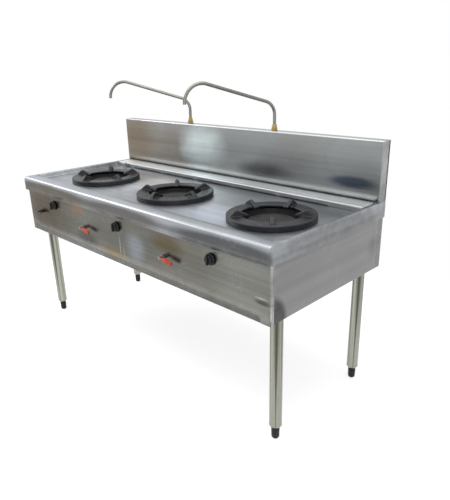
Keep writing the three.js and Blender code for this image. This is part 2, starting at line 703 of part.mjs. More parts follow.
/** A gas tap: spindle through the apron, body, stub to the manifold, and the injector below. */
function gasValve(x) {
  const bodyY = apronY + sheet + seat;
  const bodyLength = pipeSetback - pipeRadius - valveEndGap - sheet - seat;
  const outletY = bodyY + bodyLength - outletInset;
  const backwards = (radius, length, sides, y) => rod(radius, length, sides, [x, y, knobHeight], [0, 1, 0]);
  const spindleLength = spindleReach + sheet + seat + 4;
  const spindle = backwards(spindleRadius, spindleLength, flats.stem, apronY - spindleReach);
  const collar = backwards(valveRadius + 3, 6, 6, bodyY);
  const body = backwards(valveRadius, bodyLength, flats.valve, bodyY);
  const stub = backwards(valveStubRadius, pipeY - pipeRadius - seat - bodyY, flats.pipe, bodyY);
  const elbow = [[x, outletY, knobHeight], [x, outletY, injectorHeight], [x, pipeY + 12, injectorHeight]];
  const outlet = pipe(route(elbow, [12], bendSteps.tight), nozzleRadius, flats.pipe);
  return union([spindle, collar, body, stub, outlet]);
}

/** A black tap knob with a grip bar, bored for its spindle. */
function knob(x) {
  const front = knobDepth;
  const profile = [
    [0, 0], [knobRadius - 1.5, 0], [knobRadius, 1.5], [knobRadius, knobSkirt - 2],
    [knobRadius - 2, knobSkirt], [knobBodyRadius, knobSkirt], [knobBodyRadius - 1.5, front - 10],
    [knobBodyRadius - 3, front - 8], [0, front - 8],
  ];
  const disc = revolve(profile, flats.knob);
  const bar = block([-knobGripWidth / 2, knobGripWidth / 2], [-knobRadius, knobRadius], [knobSkirt, front]);
  const cone = rod(knobBodyRadius + 1, front, flats.knob, [0, 0, 0], [0, 0, 1], knobBodyRadius - 2);
  const grip = bar.intersect(cone);
  const bore = hole(spindleRadius + seat, spindleReach + seat, flats.stem, [0, 0, -1]);
  return disc.add(grip).subtract(bore).rotate([90, 0, 0]).translate([x, apronY - 1, knobHeight]);
}

/** A small ball valve hung under the manifold, with a front boss for the lever's stem. */
function pilotValve(x) {
  const top = stubBottom - seat;
  const half = top - leverHeight;
  const bossY = apronY + sheet + seat;
  const body = rod(pilotValveRadius, 2 * half, flats.valve, [x, pipeY, leverHeight - half]);
  const ends = [leverHeight - half, top - pilotHexLength].map((z) => rod(
    pilotHexRadius, pilotHexLength, 6, [x, pipeY, z]));
  const ballStart = [x, pipeY - pilotHexRadius, leverHeight];
  const ball = rod(pilotBallRadius, 2 * pilotHexRadius, flats.valve, ballStart, [0, 1, 0]);
  const boss = rod(stemRadius + 5, pipeY - bossY, flats.valve, [x, bossY, leverHeight], [0, 1, 0]);
  const boreLength = pipeSetback - stemEndGap + 4;
  const bore = hole(stemRadius + seat, boreLength, flats.stem, [x, apronY, leverHeight], [0, 1, 0]);
  return union([body, ...ends, ball, boss]).subtract(bore);
}

/** Carries a handle made along +X at the origin to its place on the apron, drooping a little as in use. */
const placeHandle = (solid, i) => solid.rotate([0, leverDroop, 0])
  .translate([leverX[i], apronY - leverStandOff, leverHeight]);

/** The middle of a valve handle: its hub, its nut and the stem that turns the ball. */
function handleHub() {
  const hub = rod(10, leverStrip, flats.valve, [0, -leverStrip / 2, 0], [0, 1, 0]);
  const nut = rod(8.5, gripThickness / 2, 6, [0, -gripThickness / 2, 0], [0, 1, 0]);
  const stem = rod(stemRadius, leverStandOff + pipeSetback - stemEndGap, flats.stem, [0, 0, 0], [0, 1, 0]);
  return union([hub, nut, stem]);
}

/** A steel lever with its stem and nut. */
function lever(i) {
  const strip = block([-9, leverLength - gripCap], [-leverStrip / 2, leverStrip / 2],
    [-leverWidth / 2, leverWidth / 2]);
  return placeHandle(handleHub().add(strip), i);
}

/** A wing handle with its stem and nut: two short blades with round ends. */
function wingHandle(i) {
  const shape = new THREE.Shape();
  shape.moveTo(0, -wingNeck);
  shape.lineTo(wingReach - wingTip, -wingTip);
  shape.absarc(wingReach - wingTip, 0, wingTip, -Math.PI / 2, Math.PI / 2, false);
  shape.lineTo(0, wingNeck);
  shape.lineTo(wingTip - wingReach, wingTip);
  shape.absarc(wingTip - wingReach, 0, wingTip, Math.PI / 2, Math.PI * 1.5, false);
  shape.closePath();
  const blades = new THREE.ExtrudeGeometry(
    shape, { depth: leverStrip, bevelEnabled: false, curveSegments: 6 });
  blades.rotateX(Math.PI / 2);
  blades.translate(0, leverStrip / 2, 0);
  return placeHandle(handleHub().add(solidOf(blades)), i);
}

/** The vinyl sleeve over the outer end of a lever. */
function leverGrip(i) {
  const end = leverLength;
  const half = gripWidth / 2;
  const shape = new THREE.Shape();
  shape.moveTo(end - gripLength, -half + 4);
  shape.lineTo(end - gripLength + 6, -half);
  shape.lineTo(end - half, -half);
  shape.absarc(end - half, 0, half, -Math.PI / 2, Math.PI / 2, false);
  shape.lineTo(end - gripLength + 6, half);
  shape.lineTo(end - gripLength, half - 4);
  shape.closePath();
  const body = new THREE.ExtrudeGeometry(shape, {
    depth: gripThickness - 4, bevelEnabled: true, bevelSize: 1.5, bevelThickness: 2, bevelOffset: -1.5,
    bevelSegments: 1, curveSegments: 6,
  });
  body.rotateX(Math.PI / 2);
  body.translate(0, (gripThickness - 4) / 2, 0);
  const [thin, wide] = [leverStrip / 2 + seat, leverWidth / 2 + seat];
  const slot = block([end - gripLength - 1, end - gripCap + seat], [-thin, thin], [-wide, wide]);
  return placeHandle(solidOf(body).subtract(slot), i);
}

/** The thin pilot gas pipe from a lever valve, under the burner bar and up beside the burner head. */
function pilotPipe(x, valveX) {
  const top = 2 * leverHeight - stubBottom;
  const low = Math.min(top, burnerRailBottom + pilotPipeRadius) - pilotPipeDrop;
  const besideNeck = x - (headNeckRadius + bowlBottomRadius) / 2;
  const besideHead = x - headRadius - 17;
  const corners = [
    [valveX, pipeY, top], [valveX, pipeY, low], [besideNeck, burnerY + 4, low],
    [besideNeck, burnerY + 4, bowlBottomHeight + 10],
    [besideHead, burnerY + 4, headTopHeight - pilotKneeDrop],
    [besideHead, burnerY + 4, headTopHeight - pilotFlameDrop],
  ];
  const bends = [pilotPipeBend, 24, 16, pilotPipeBend];
  return pipe(route(corners, bends, bendSteps.tight), pilotPipeRadius, flats.thinPipe);
}

// ---- Water --------------------------------------------------------------------------------------------

/** The brass swivel nut on top of the backsplash, with its tail through the top and a seat for the spout. */
function spoutNut(x) {
  const bottom = splashTop + seat;
  const hex = rod(nutAcross / 2 / Math.cos(30 * degrees), nutHeight * 0.5, 6, [x, spoutY, bottom]);
  const collar = rod(nutAcross / 2, nutHeight, flats.valve, [x, spoutY, bottom], [0, 0, 1], spoutRadius + 3);
  const tail = rod(spoutRadius + 1, nutTail + 1, flats.pipe, [x, spoutY, bottom - nutTail]);
  const bore = hole(spoutRadius + seat, nutHeight, flats.valve, [x, spoutY, bottom + 3]);
  return union([hex, collar, tail]).subtract(bore);
}

/** A swivelling spout: riser, bend, rising arm and a hook down to the tip; open at the tip. */
function spout(x, azimuth) {
  const [dx, dy] = [Math.cos(azimuth * degrees), Math.sin(azimuth * degrees)];
  const bottom = splashTop + 2 * seat + 3;
  const corner = splashTop + spoutCorner;
  const hook = corner + spoutReach * Math.tan(spoutRise * degrees);
  const tip = hook - spoutDrop;
  const [tipX, tipY] = [x + spoutReach * dx, spoutY + spoutReach * dy];
  const stations = route([[x, spoutY, bottom], [x, spoutY, corner], [tipX, tipY, hook], [tipX, tipY, tip]],
    spoutBends, bendSteps.broad);
  const mouth = rod(spoutRadius - 1.5, 21, flats.spout, [tipX, tipY, tip - 1]);
  return pipe(stations, spoutRadius, flats.spout).subtract(mouth);
}

/** The water pipe inside the backsplash, with a branch under each spout and its inlet below the worktop. */
function waterPipe() {
  const left = spoutX[0] - waterPipeOverrun;
  const inlet = lipBottom - waterInletDrop;
  const stations = route([[left, spoutY, waterPipeHeight], [waterPipeX, spoutY, waterPipeHeight],
    [waterPipeX, spoutY, inlet]], [waterPipeBend], bendSteps.tight);
  const branchTop = splashTop + seat - nutTail - seat;
  const branches = spoutX.map((x) => rod(waterPipeRadius - 1.5, branchTop - waterPipeHeight, flats.pipe,
    [x, spoutY, waterPipeHeight]));
  const coupling = rod(couplingRadius, couplingLength, 6, [waterPipeX, spoutY, inlet + 6]);
  return union([pipe(stations, waterPipeRadius, flats.pipe), ...branches, coupling]);
}

/** The small rinsing nozzle that stands on the tray in front of the ledge, at its left end. */
function rinseNozzle() {
  const [x, y] = [nozzleInset - worktopHalf, ledgeFrontY - nozzleSetback];
  const bottom = trayHeight + seat;
  const post = rod(nozzlePostRadius, nozzlePostHeight, flats.pipe, [x, y, bottom]);
  const base = rod(2 * nozzlePostRadius, 4, 6, [x, y, bottom]);
  const outletZ = bottom + 0.6 * nozzlePostHeight;
  const outlet = rod(nozzleOutletRadius, nozzleOutletLength, flats.pipe, [x, y, outletZ], [-1, -0.2, 0]);
  return union([post, base, outlet]);
}

// ---- The range ----------------------------------------------------------------------------------------

const range = new THREE.Group();

function place(name, solid, finish) {
  const mesh = new THREE.Mesh(geometryOf(solid), new THREE.MeshStandardMaterial(finishes[finish]));
  mesh.name = name;
  range.add(mesh);
}

place('worktop', worktop(), 'brushedSteel');
place('gutter_cover', gutterCover(), 'brushedSteel');
place('gutter_channel', gutterChannel(), 'brushedSteel');
place('backsplash_shell', backsplashShell(), 'brushedSteel');
place('backsplash_rear_cover', backsplashRearCover(), 'brushedSteel');
place('front_apron', frontApron(), 'brushedSteel');
place('side_panel_left', sidePanel(-1), 'brushedSteel');
place('side_panel_right', sidePanel(1), 'brushedSteel');
place('back_panel', backPanel(), 'brushedSteel');
place('side_frame_left', sideFrame(-1), 'paintedFrame');
place('side_frame_right', sideFrame(1), 'paintedFrame');
place('front_rail', crossRail(frontLegY), 'paintedFrame');
place('rear_rail', crossRail(rearLegY), 'paintedFrame');
place('burner_rail', burnerRail(), 'paintedFrame');

for (const [end, y] of [['front', frontLegY], ['rear', rearLegY]]) {
  for (const [side, x] of [['left', -legX], ['right', legX]]) {
    place(`leg_${end}_${side}`, leg(x, y), 'polishedSteel');
    place(`foot_${end}_${side}`, foot(x, y), 'blackPlastic');
  }
}

['left', 'middle', 'right'].forEach((station, i) => {
  place(`wok_ring_${station}`, wokRing(burnerX[i], ringTurn[i]), 'castIron');
  place(`fire_bowl_${station}`, fireBowl(burnerX[i]), 'castIron');
  place(`burner_head_${station}`, burnerHead(burnerX[i]), 'burnerIron');
  place(`mixing_tube_${station}`, mixingTube(burnerX[i], knobX[i]), 'castIron');
  place(`gas_valve_${station}`, gasValve(knobX[i]), 'brass');
  place(`gas_knob_${station}`, knob(knobX[i]), 'blackPlastic');
  place(`pilot_valve_${station}`, pilotValve(leverX[i]), 'brass');
  place(`pilot_pipe_${station}`, pilotPipe(burnerX[i], leverX[i]), 'gasPipe');
  if (station === 'left') {
    place('wing_handle_left', wingHandle(i), 'darkZinc');
  } else {
    place(`pilot_lever_${station}`, lever(i), 'polishedSteel');
    place(`lever_grip_${station}`, leverGrip(i), 'orangeVinyl');
  }
});

place('gas_manifold', gasManifold(), 'gasPipe');
['left', 'right'].forEach((side, i) => {
  place(`spout_nut_${side}`, spoutNut(spoutX[i]), 'brass');
  place(`spout_${side}`, spout(spoutX[i], spoutAzimuth[i]), 'polishedSteel');
});
place('water_pipe', waterPipe(), 'gasPipe');
place('rinse_nozzle', rinseNozzle(), 'polishedSteel');

export default range;
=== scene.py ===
"""The dressed three-burner wok range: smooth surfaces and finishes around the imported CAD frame.

Lengths in this file are millimetres and angles degrees unless a name says otherwise; meshes are
made in metres.
The front faces -Y, +Z is up, and the origin is on the floor in the middle of the range.
"""
from __future__ import annotations

import logging
import math
from dataclasses import dataclass, field
from enum import Enum
from typing import Callable, Sequence

import bmesh
import bpy
import numpy as np
from mathutils import Matrix, Vector

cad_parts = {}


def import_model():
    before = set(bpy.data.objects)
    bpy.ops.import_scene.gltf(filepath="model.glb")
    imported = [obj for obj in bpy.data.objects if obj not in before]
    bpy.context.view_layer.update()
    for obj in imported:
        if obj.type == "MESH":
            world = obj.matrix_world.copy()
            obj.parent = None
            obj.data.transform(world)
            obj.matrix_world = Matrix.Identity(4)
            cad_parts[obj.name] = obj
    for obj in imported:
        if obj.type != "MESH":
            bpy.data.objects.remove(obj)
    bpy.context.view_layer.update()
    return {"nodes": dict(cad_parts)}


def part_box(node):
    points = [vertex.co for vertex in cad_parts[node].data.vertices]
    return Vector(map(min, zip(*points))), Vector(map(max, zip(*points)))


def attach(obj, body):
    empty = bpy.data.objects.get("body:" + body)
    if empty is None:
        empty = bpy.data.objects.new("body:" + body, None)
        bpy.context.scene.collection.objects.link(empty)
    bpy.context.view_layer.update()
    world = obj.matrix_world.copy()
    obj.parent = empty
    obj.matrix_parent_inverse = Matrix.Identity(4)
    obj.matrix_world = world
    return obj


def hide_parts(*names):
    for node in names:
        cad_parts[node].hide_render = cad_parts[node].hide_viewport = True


log = logging.getLogger("wok_range")

MM = 0.001
WELD = 0.02  # points of a piece closer than this become one
BARE_STEEL: tuple[int, int, int] = (226, 228, 230)  # where an edge or a scratch is rubbed clean
GRIME: tuple[int, int, int] = (104, 96, 84)
STATIONS = ("left", "middle", "right")
SIDES = ("left", "right")
CORNERS = ("front_left", "front_right", "rear_left", "rear_right")

Rgb = tuple[int, int, int]
Triple = tuple[float, float, float]
Socket = bpy.types.NodeSocket


# ---- Surfaces ---------------------------------------------------------------------------------------

@dataclass
class Surface:
    """Points in millimetres and the faces between them, as arrays of corner numbers."""

    points: np.ndarray
    faces: list[np.ndarray]

    def moved(self, x: float, y: float, z: float) -> Surface:
        """The same surface, carried by an offset."""
        return Surface(self.points + (x, y, z), self.faces)

    def turned(self, axis: str, angle: float) -> Surface:
        """The same surface, turned about an axis through the origin."""
        matrix = np.array(Matrix.Rotation(math.radians(angle), 3, axis))
        return Surface(self.points @ matrix.T, self.faces)

    def mapped(self, place: Callable[[np.ndarray], np.ndarray]) -> Surface:
        """The same faces over points that a function moves, all at once."""
        return Surface(place(self.points), self.faces)


def unit(vectors: np.ndarray) -> np.ndarray:
    """Each vector divided by its length."""
    return vectors / np.maximum(np.linalg.norm(vectors, axis=-1, keepdims=True), 1e-9)


def smooth(value: np.ndarray) -> np.ndarray:
    """The smoothstep 3t^2 - 2t^3 of a value clamped to 0..1."""
    t = np.clip(value, 0.0, 1.0)
    return t * t * (3 - 2 * t)


def lines(stations: Sequence[float], step: float) -> np.ndarray:
    """The stations in order, with even points between them no further apart than a step."""
    marks = np.unique(np.round(np.asarray(stations, float), 4))
    runs = [np.linspace(a, b, max(1, math.ceil((b - a) / step)), endpoint=False)
            for a, b in zip(marks[:-1], marks[1:])]
    return np.append(np.concatenate(runs), marks[-1])


def grid(points: np.ndarray, wrap_rows: bool = False, wrap_columns: bool = False) -> Surface:
    """Quads between neighbours of points[row, column].

    Args:
        points: array of shape (rows, columns, 3).
        wrap_rows: joins the last row to the first.
        wrap_columns: joins the last column to the first.

    Returns:
        The surface.
    """
    rows, columns = points.shape[:2]
    index = np.arange(rows * columns).reshape(rows, columns)
    if wrap_rows:
        index = np.vstack([index, index[:1]])
    if wrap_columns:
        index = np.hstack([index, index[:, :1]])
    quads = np.stack([index[:-1, :-1], index[1:, :-1], index[1:, 1:], index[:-1, 1:]], axis=-1)
    return Surface(points.reshape(-1, 3), [quads.reshape(-1, 4)])


def fan(rim: np.ndarray) -> Surface:
    """Triangles from a closed rim of points to their mean."""
    count = len(rim)
    first = np.arange(count)
    triangles = np.stack([first, (first + 1) % count, np.full(count, count)], axis=-1)
    return Surface(np.vstack([rim, rim.mean(axis=0)]), [triangles])


def revolve(profile: Sequence[tuple[float, float]], sides: int, closed: bool = False) -> Surface:
    """A profile of (radius, height) turned round Z: x = r cos a, y = r sin a, z = h.

    Args:
        profile: the outline's points.
        sides: steps round the axis.
        closed: joins the last point of the profile to the first.

    Returns:
        The surface; a point at radius 0 becomes a pole when the mesh is merged.
    """
    angle = np.linspace(0, 2 * math.pi, sides, endpoint=False)
    radius, height = np.asarray(profile, float).T[:, :, None]
    points = np.stack(np.broadcast_arrays(radius * np.cos(angle), radius * np.sin(angle), height), axis=-1)
    return grid(points, wrap_rows=closed, wrap_columns=True)


def route(corners: Sequence[Sequence[float]], radii: Sequence[float], step: float = 6.0) -> np.ndarray:
    """Points along straight runs joined by arcs.

    A corner is cut back by radius * tan(turn / 2), and the arc from there is
    start + radius * (sin a * inward + (1 - cos a) * side), with a from 0 to the turn.

    Args:
        corners: the corner points, first and last included.
        radii: one bend radius for each inner corner.
        step: degrees of arc between points.

    Returns:
        The points in order.
    """
    at = np.asarray(corners, float)
    path = [at[:1]]
    for before, corner, after, radius in zip(at[:-2], at[1:-1], at[2:], radii):
        inward, outward = unit(corner - before), unit(after - corner)
        turn = math.acos(float(np.clip(inward @ outward, -1, 1)))
        side = unit(outward - inward * (inward @ outward))
        angle = np.linspace(0, turn, max(2, math.ceil(math.degrees(turn) / step)) + 1)[:, None]
        start = corner - inward * radius * math.tan(turn / 2)
        path.append(start + radius * (np.sin(angle) * inward + (1 - np.cos(angle)) * side))
    path.append(at[-1:])
    return np.concatenate(path)


def frames(path: np.ndarray) -> tuple[np.ndarray, np.ndarray]:
    """Two unit directions across a path at each of its points.

    Each station's direction is the last one with its part along the new tangent taken out, which is the
    least turn from station to station.

    Args:
        path: the points of the path.

    Returns:
        The two directions, each of the path's shape.
    """
    tangents = unit(np.gradient(path, axis=0))
    start = np.eye(3)[np.argmin(np.abs(tangents[0]))]
    across = np.empty_like(path)
    last = start
    for i, tangent in enumerate(tangents):
        last = unit(last - tangent * (last @ tangent))
        across[i] = last
    return across, np.cross(tangents, across)


def tube(path: np.ndarray, radius: float | np.ndarray, sides: int = 20) -> Surface:
    """Rings round a path: centre + r * (cos a * across + sin a * beside).

    Args:
        path: the centres of the rings.
        radius: one radius, or one for each ring.
        sides: points in a ring.

    Returns:
        The open tube.
    """
    across, beside = frames(path)
    angle = np.linspace(0, 2 * math.pi, sides, endpoint=False)[None, :, None]
    reach = np.broadcast_to(np.asarray(radius, float), (len(path),))[:, None, None]
    points = path[:, None] + reach * (np.cos(angle) * across[:, None] + np.sin(angle) * beside[:, None])
    return grid(points, wrap_columns=True)


def bar(path: np.ndarray, radius: float, sides: int = 20, round_end: float = 0.8) -> Surface:
    """A closed tube whose two ends are rounded a little and drawn in to a point on the axis."""
    ends = unit(np.gradient(path, axis=0))[[0, -1]]
    stations = np.vstack([path[:1], path[:1], path[:1] + ends[0] * round_end, path[1:-1],
                          path[-1:] - ends[1] * round_end, path[-1:], path[-1:]])
    inner = len(path) - 2
    radii = np.r_[0.0, radius - round_end, radius, np.full(inner, radius), radius, radius - round_end, 0.0]
    across, beside = frames(path)
    pick = np.r_[0, 0, 0, np.arange(1, inner + 1), -1, -1, -1]
    angle = np.linspace(0, 2 * math.pi, sides, endpoint=False)[None, :, None]
    spread = np.cos(angle) * across[pick][:, None] + np.sin(angle) * beside[pick][:, None]
    return grid(stations[:, None] + radii[:, None, None] * spread, wrap_columns=True)


def prism(outline: np.ndarray, depth: float, chamfer: float) -> Surface:
    """A flat shape in X and Z given a thickness along Y, with its edges cut back by a chamfer.

    The rings are the outline drawn in by the chamfer, the outline itself, and the same again at the far
    side, each drawn in towards the outline's middle; a fan closes each end.

    Args:
        outline: points (x, z) of a shape without deep hollows.
        depth: the thickness, centred on Y = 0.
        chamfer: how far each edge is cut back.

    Returns:
        A closed surface.
    """
    middle = outline.mean(axis=0)
    inner = outline - unit(outline - middle) * chamfer
    half = depth / 2
    rings = [(inner, -half), (outline, chamfer - half), (outline, half - chamfer), (inner, half)]
    points = np.stack([np.column_stack([ring[:, 0], np.full(len(ring), y), ring[:, 1]]) for ring, y in rings])
    return joined([grid(points, wrap_columns=True), fan(points[0]), fan(points[-1])])


def joined(surfaces: Sequence[Surface]) -> Surface:
    """Several surfaces as one."""
    offsets = np.cumsum([0] + [len(s.points) for s in surfaces[:-1]])
    faces = [array + offset for s, offset in zip(surfaces, offsets) for array in s.faces]
    return Surface(np.vstack([s.points for s in surfaces]), faces)


@dataclass(frozen=True)
class RoundHole:
    """A round hole in a net, inside a square patch of its own."""

    u: float
    v: float
    radius: float
    patch: float
    spokes: int = 14
    rings: int = 3

    def around(self, at: float) -> np.ndarray:
        """The net lines that cross the patch, about one of its middle coordinates."""
        return np.linspace(at - self.patch, at + self.patch, self.spokes + 1)


@dataclass(frozen=True)
class Opening:
    """A rectangle that is left out of a net."""

    u0: float
    u1: float
    v0: float
    v1: float


def crossed(base: np.ndarray, *more: Sequence[float]) -> np.ndarray:
    """A net's lines and more of them in order, rounded so that doubles become one."""
    return np.unique(np.round(np.concatenate([base, *more]), 4))


def net(u_lines: np.ndarray, v_lines: np.ndarray, holes: Sequence[RoundHole] = (),
        openings: Sequence[Opening] = ()) -> Surface:
    """A flat net of quads at (u, v, 0) with round holes and rectangular openings.

    The cells of each hole's square are replaced by rings that go from the square's own points straight to
    the circle: point = square * (1 - t) + circle * t, so that the net stays joined.

    Args:
        u_lines: the net's lines across, sorted.
        v_lines: the net's lines up, sorted.
        holes: the round holes.
        openings: the rectangles to leave out, whose sides become net lines.

    Returns:
        The net's surface.
    """
    u = crossed(u_lines, *[h.around(h.u) for h in holes], *[[o.u0, o.u1] for o in openings])
    v = crossed(v_lines, *[h.around(h.v) for h in holes], *[[o.v0, o.v1] for o in openings])
    points = np.stack([*np.meshgrid(u, v, indexing="ij"), np.zeros((len(u), len(v)))], axis=-1)
    sheet = grid(points)
    middle_u = ((u[1:] + u[:-1]) / 2)[:, None]
    middle_v = ((v[1:] + v[:-1]) / 2)[None, :]
    kept = np.ones((len(u) - 1, len(v) - 1), bool)
    for h in holes:
        kept &= ~((np.abs(middle_u - h.u) < h.patch) & (np.abs(middle_v - h.v) < h.patch))
    for o in openings:
        kept &= ~((middle_u > o.u0) & (middle_u < o.u1) & (middle_v > o.v0) & (middle_v < o.v1))
    parts = [Surface(sheet.points, [sheet.faces[0][kept.ravel()]])]
    for h in holes:
        us = u[(u >= h.u - h.patch - 1e-3) & (u <= h.u + h.patch + 1e-3)]
        vs = v[(v >= h.v - h.patch - 1e-3) & (v <= h.v + h.patch + 1e-3)]
        square = np.vstack([
            np.column_stack([us[:-1], np.full(len(us) - 1, vs[0])]),
            np.column_stack([np.full(len(vs) - 1, us[-1]), vs[:-1]]),
            np.column_stack([us[:0:-1], np.full(len(us) - 1, vs[-1])]),
            np.column_stack([np.full(len(vs) - 1, us[0]), vs[:0:-1]])])
        centre = np.array([h.u, h.v])
        circle = centre + unit(square - centre) * h.radius
        t = np.linspace(0, 1, h.rings + 1)[:, None, None]
        rings = square * t + circle * (1 - t)
        parts.append(grid(np.concatenate([rings, np.zeros_like(rings[..., :1])], axis=-1), wrap_columns=True))
    return joined(parts)


@dataclass(frozen=True)
class FoldedProfile:
    """A sheet's edge in Y and Z: straight runs with bends, measured by the length along them."""

    corners: tuple[tuple[float, float], ...]
    radii: tuple[float, ...]
    step: float = 9.0

    def path(self) -> np.ndarray:
        """The profile's points (y, z), bends included."""
        return route([(0.0, y, z) for y, z in self.corners], self.radii, self.step)[:, 1:]

    def lengths(self) -> np.ndarray:
        """The length along the profile at each of its points."""
        path = self.path()
        return np.r_[0, np.cumsum(np.linalg.norm(np.diff(path, axis=0), axis=1))]

    def at(self, length: np.ndarray) -> tuple[np.ndarray, np.ndarray]:
        """The profile's (y, z) and its outward normal at some lengths, by straight-line interpolation."""
        path, s = self.path(), self.lengths()
        tangent = unit(np.gradient(path, axis=0))
        columns = (*path.T, -tangent[:, 1], tangent[:, 0])
        mixed = np.column_stack([np.interp(length, s, column) for column in columns])
        return mixed[:, :2], unit(mixed[:, 2:])


@dataclass(frozen=True)
class Lid:
    """A profile carried along X, with both ends folded down square by a quarter-round fold.

    In the fold, at an angle a, a point goes out by fold * sin a and in from the profile, against its
    normal, by fold * (1 - cos a). The flat end below it is ruled straight down.
    """

    profile: FoldedProfile
    half: float
    fold: float
    bottom: float
    steps: int = 4

    def place(self, points: np.ndarray) -> np.ndarray:
        """Carries net points (x along the lid, length along the profile) to their place."""
        x, along = points[:, 0], points[:, 1]
        angle = np.clip((np.abs(x) - (self.half - self.fold)) / self.fold, 0, math.pi / 2)
        flat, outward = self.profile.at(along)
        inset = self.fold * (1 - np.cos(angle))[:, None]
        yz = flat - outward * inset
        across = np.sign(x) * (np.minimum(np.abs(x), self.half - self.fold) + self.fold * np.sin(angle))
        return np.column_stack([across, yz])

    def end_lines(self) -> np.ndarray:
        """The net lines of the two folds."""
        angle = np.linspace(0, math.pi / 2, self.steps + 1)
        outer = self.half - self.fold + self.fold * angle
        return np.r_[-outer, outer]

    def lines_across(self, step: float, *more: np.ndarray) -> np.ndarray:
        """The net lines across the lid: its two folds, and even lines between them."""
        flat = self.half - self.fold
        return np.unique(np.r_[lines([-flat, flat], step), self.end_lines(), *more])

    def ends(self, v_lines: np.ndarray, first: float, last: float) -> Surface:
        """The two flat ends, ruled down from the fold over a stretch of the profile, wound like the lid."""
        v = v_lines[(v_lines >= first - 1e-6) & (v_lines <= last + 1e-6)]
        reach = self.half - self.fold + self.fold * math.pi / 2
        caps = []
        for side in (-1, 1):
            top = self.place(np.column_stack([np.full(len(v), side * reach), v]))
            low = top.copy()
            low[:, 2] = self.bottom
            caps.append(grid(np.stack([top, low] if side > 0 else [low, top])))
        return joined(caps)


# ---- Pieces -----------------------------------------------------------------------------------------

def fresh_mesh(name: str, surface: Surface, merge: float, closed: bool = True) -> bpy.types.Mesh:
    """A mesh in metres with its doubles merged; a closed one's normals are turned outwards."""
    mesh = bpy.data.meshes.new(name)
    faces = [tuple(face) for array in surface.faces for face in array.tolist()]
    mesh.from_pydata((surface.points * MM).tolist(), [], faces)
    edit = bmesh.new()
    edit.from_mesh(mesh)
    bmesh.ops.remove_doubles(edit, verts=edit.verts, dist=merge * MM)
    bmesh.ops.dissolve_degenerate(edit, edges=edit.edges, dist=1e-7)
    if closed:
        bmesh.ops.recalc_face_normals(edit, faces=edit.faces)
    edit.to_mesh(mesh)
    edit.free()
    return mesh


def face_towards(mesh: bpy.types.Mesh, facing: Triple) -> None:
    """Turns an open sheet over when most of its area faces away from a direction."""
    count = len(mesh.polygons)
    normals, areas = np.zeros(count * 3, np.float32), np.zeros(count, np.float32)
    mesh.polygons.foreach_get("normal", normals)
    mesh.polygons.foreach_get("area", areas)
    if (normals.reshape(-1, 3) @ np.array(facing)) @ areas < 0:
        mesh.flip_normals()


@dataclass
class Workshop:
    """Makes finished pieces and keeps the finishes that several of them share."""

    finishes: dict[str, bpy.types.Material] = field(default_factory=dict)

    def finish(self, finish: Finish) -> bpy.types.Material:
        """A finish's material, made once."""
        if finish.name not in self.finishes:
            self.finishes[finish.name] = finish.material()
        return self.finishes[finish.name]

    def piece(self, name: str, surfaces: Sequence[Surface], finish: Finish, body: str, *,
              replaces: Sequence[str] = (), facing: Triple | None = None, thickness: float = 0.0,
              crease: float = 35.0) -> bpy.types.Object:
        """One finished piece that rides on a body.

        Args:
            name: the piece's name.
            surfaces: its surfaces, in millimetres, in place.
            finish: what it is made of.
            body: the CAD body that carries it.
            replaces: the CAD nodes that it stands for.
            facing: for an open sheet, the direction that most of it faces.
            thickness: for an open sheet, the thickness given inwards.
            crease: edges sharper than this angle stay sharp.

        Returns:
            The new object.
        """
        mesh = fresh_mesh(name, joined(surfaces), WELD, closed=facing is None)
        if facing:
            face_towards(mesh, facing)
        return self.dressed(name, mesh, finish, body, replaces, thickness, crease)

    def dressed(self, name: str, mesh: bpy.types.Mesh, finish: Finish, body: str, replaces: Sequence[str] = (),
                thickness: float = 0.0, crease: float = 35.0) -> bpy.types.Object:
        """Links a mesh as a piece, with its finish, its thickness, its body and the nodes it stands for."""
        mesh.polygons.foreach_set("use_smooth", [True] * len(mesh.polygons))
        mesh.set_sharp_from_angle(angle=math.radians(crease))
        mesh.materials.append(self.finish(finish))
        piece = bpy.data.objects.new(name, mesh)
        bpy.context.scene.collection.objects.link(piece)
        if thickness:
            wall = piece.modifiers.new("wall", "SOLIDIFY")
            wall.thickness = thickness * MM
            wall.offset = -1.0
            wall.use_even_offset = True
        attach(piece, body)
        if replaces:
            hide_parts(*replaces)
        log.info("%s: %d faces on %s", name, len(mesh.polygons), body)
        return piece

    def cast(self, name: str, shells: Sequence[Surface], voxel: float, passes: int) -> bpy.types.Mesh:
        """Closed shells fused into one skin, with the soft inner corners of a casting or a moulding.

        Args:
            name: the mesh's name.
            shells: closed surfaces that may pass through each other.
            voxel: the remesh's cell.
            passes: rounds of smoothing.

        Returns:
            The fused mesh.
        """
        loose = fresh_mesh(f"{name}_shells", joined(shells), WELD / 2)
        source = bpy.data.objects.new(loose.name, loose)
        bpy.context.scene.collection.objects.link(source)
        remesh = source.modifiers.new("fuse", "REMESH")
        remesh.mode = "VOXEL"
        remesh.voxel_size = voxel * MM
        soften = source.modifiers.new("soften", "SMOOTH")
        soften.factor = 0.5
        soften.iterations = passes
        graph = bpy.context.evaluated_depsgraph_get()
        mesh = bpy.data.meshes.new_from_object(source.evaluated_get(graph))
        bpy.data.objects.remove(source)
        mesh.name = name
        return mesh

    def node(self, name: str, finish: Finish, nodes: dict[str, bpy.types.Object]) -> None:
        """Gives a CAD node that stays its finish."""
        cad = nodes[name]
        material = self.finish(finish)
        if not cad.material_slots:
            cad.data.materials.append(material)
        for slot in cad.material_slots:
            slot.material = material


def carried(mesh: bpy.types.Mesh, name: str, turn: float, offset: Triple) -> bpy.types.Mesh:
    """A copy of a mesh, turned about Z and moved by an offset in millimetres."""
    copy = mesh.copy()
    copy.name = name
    copy.transform(Matrix.Translation(Vector(offset) * MM) @ Matrix.Rotation(math.radians(turn), 4, "Z"))
    return copy


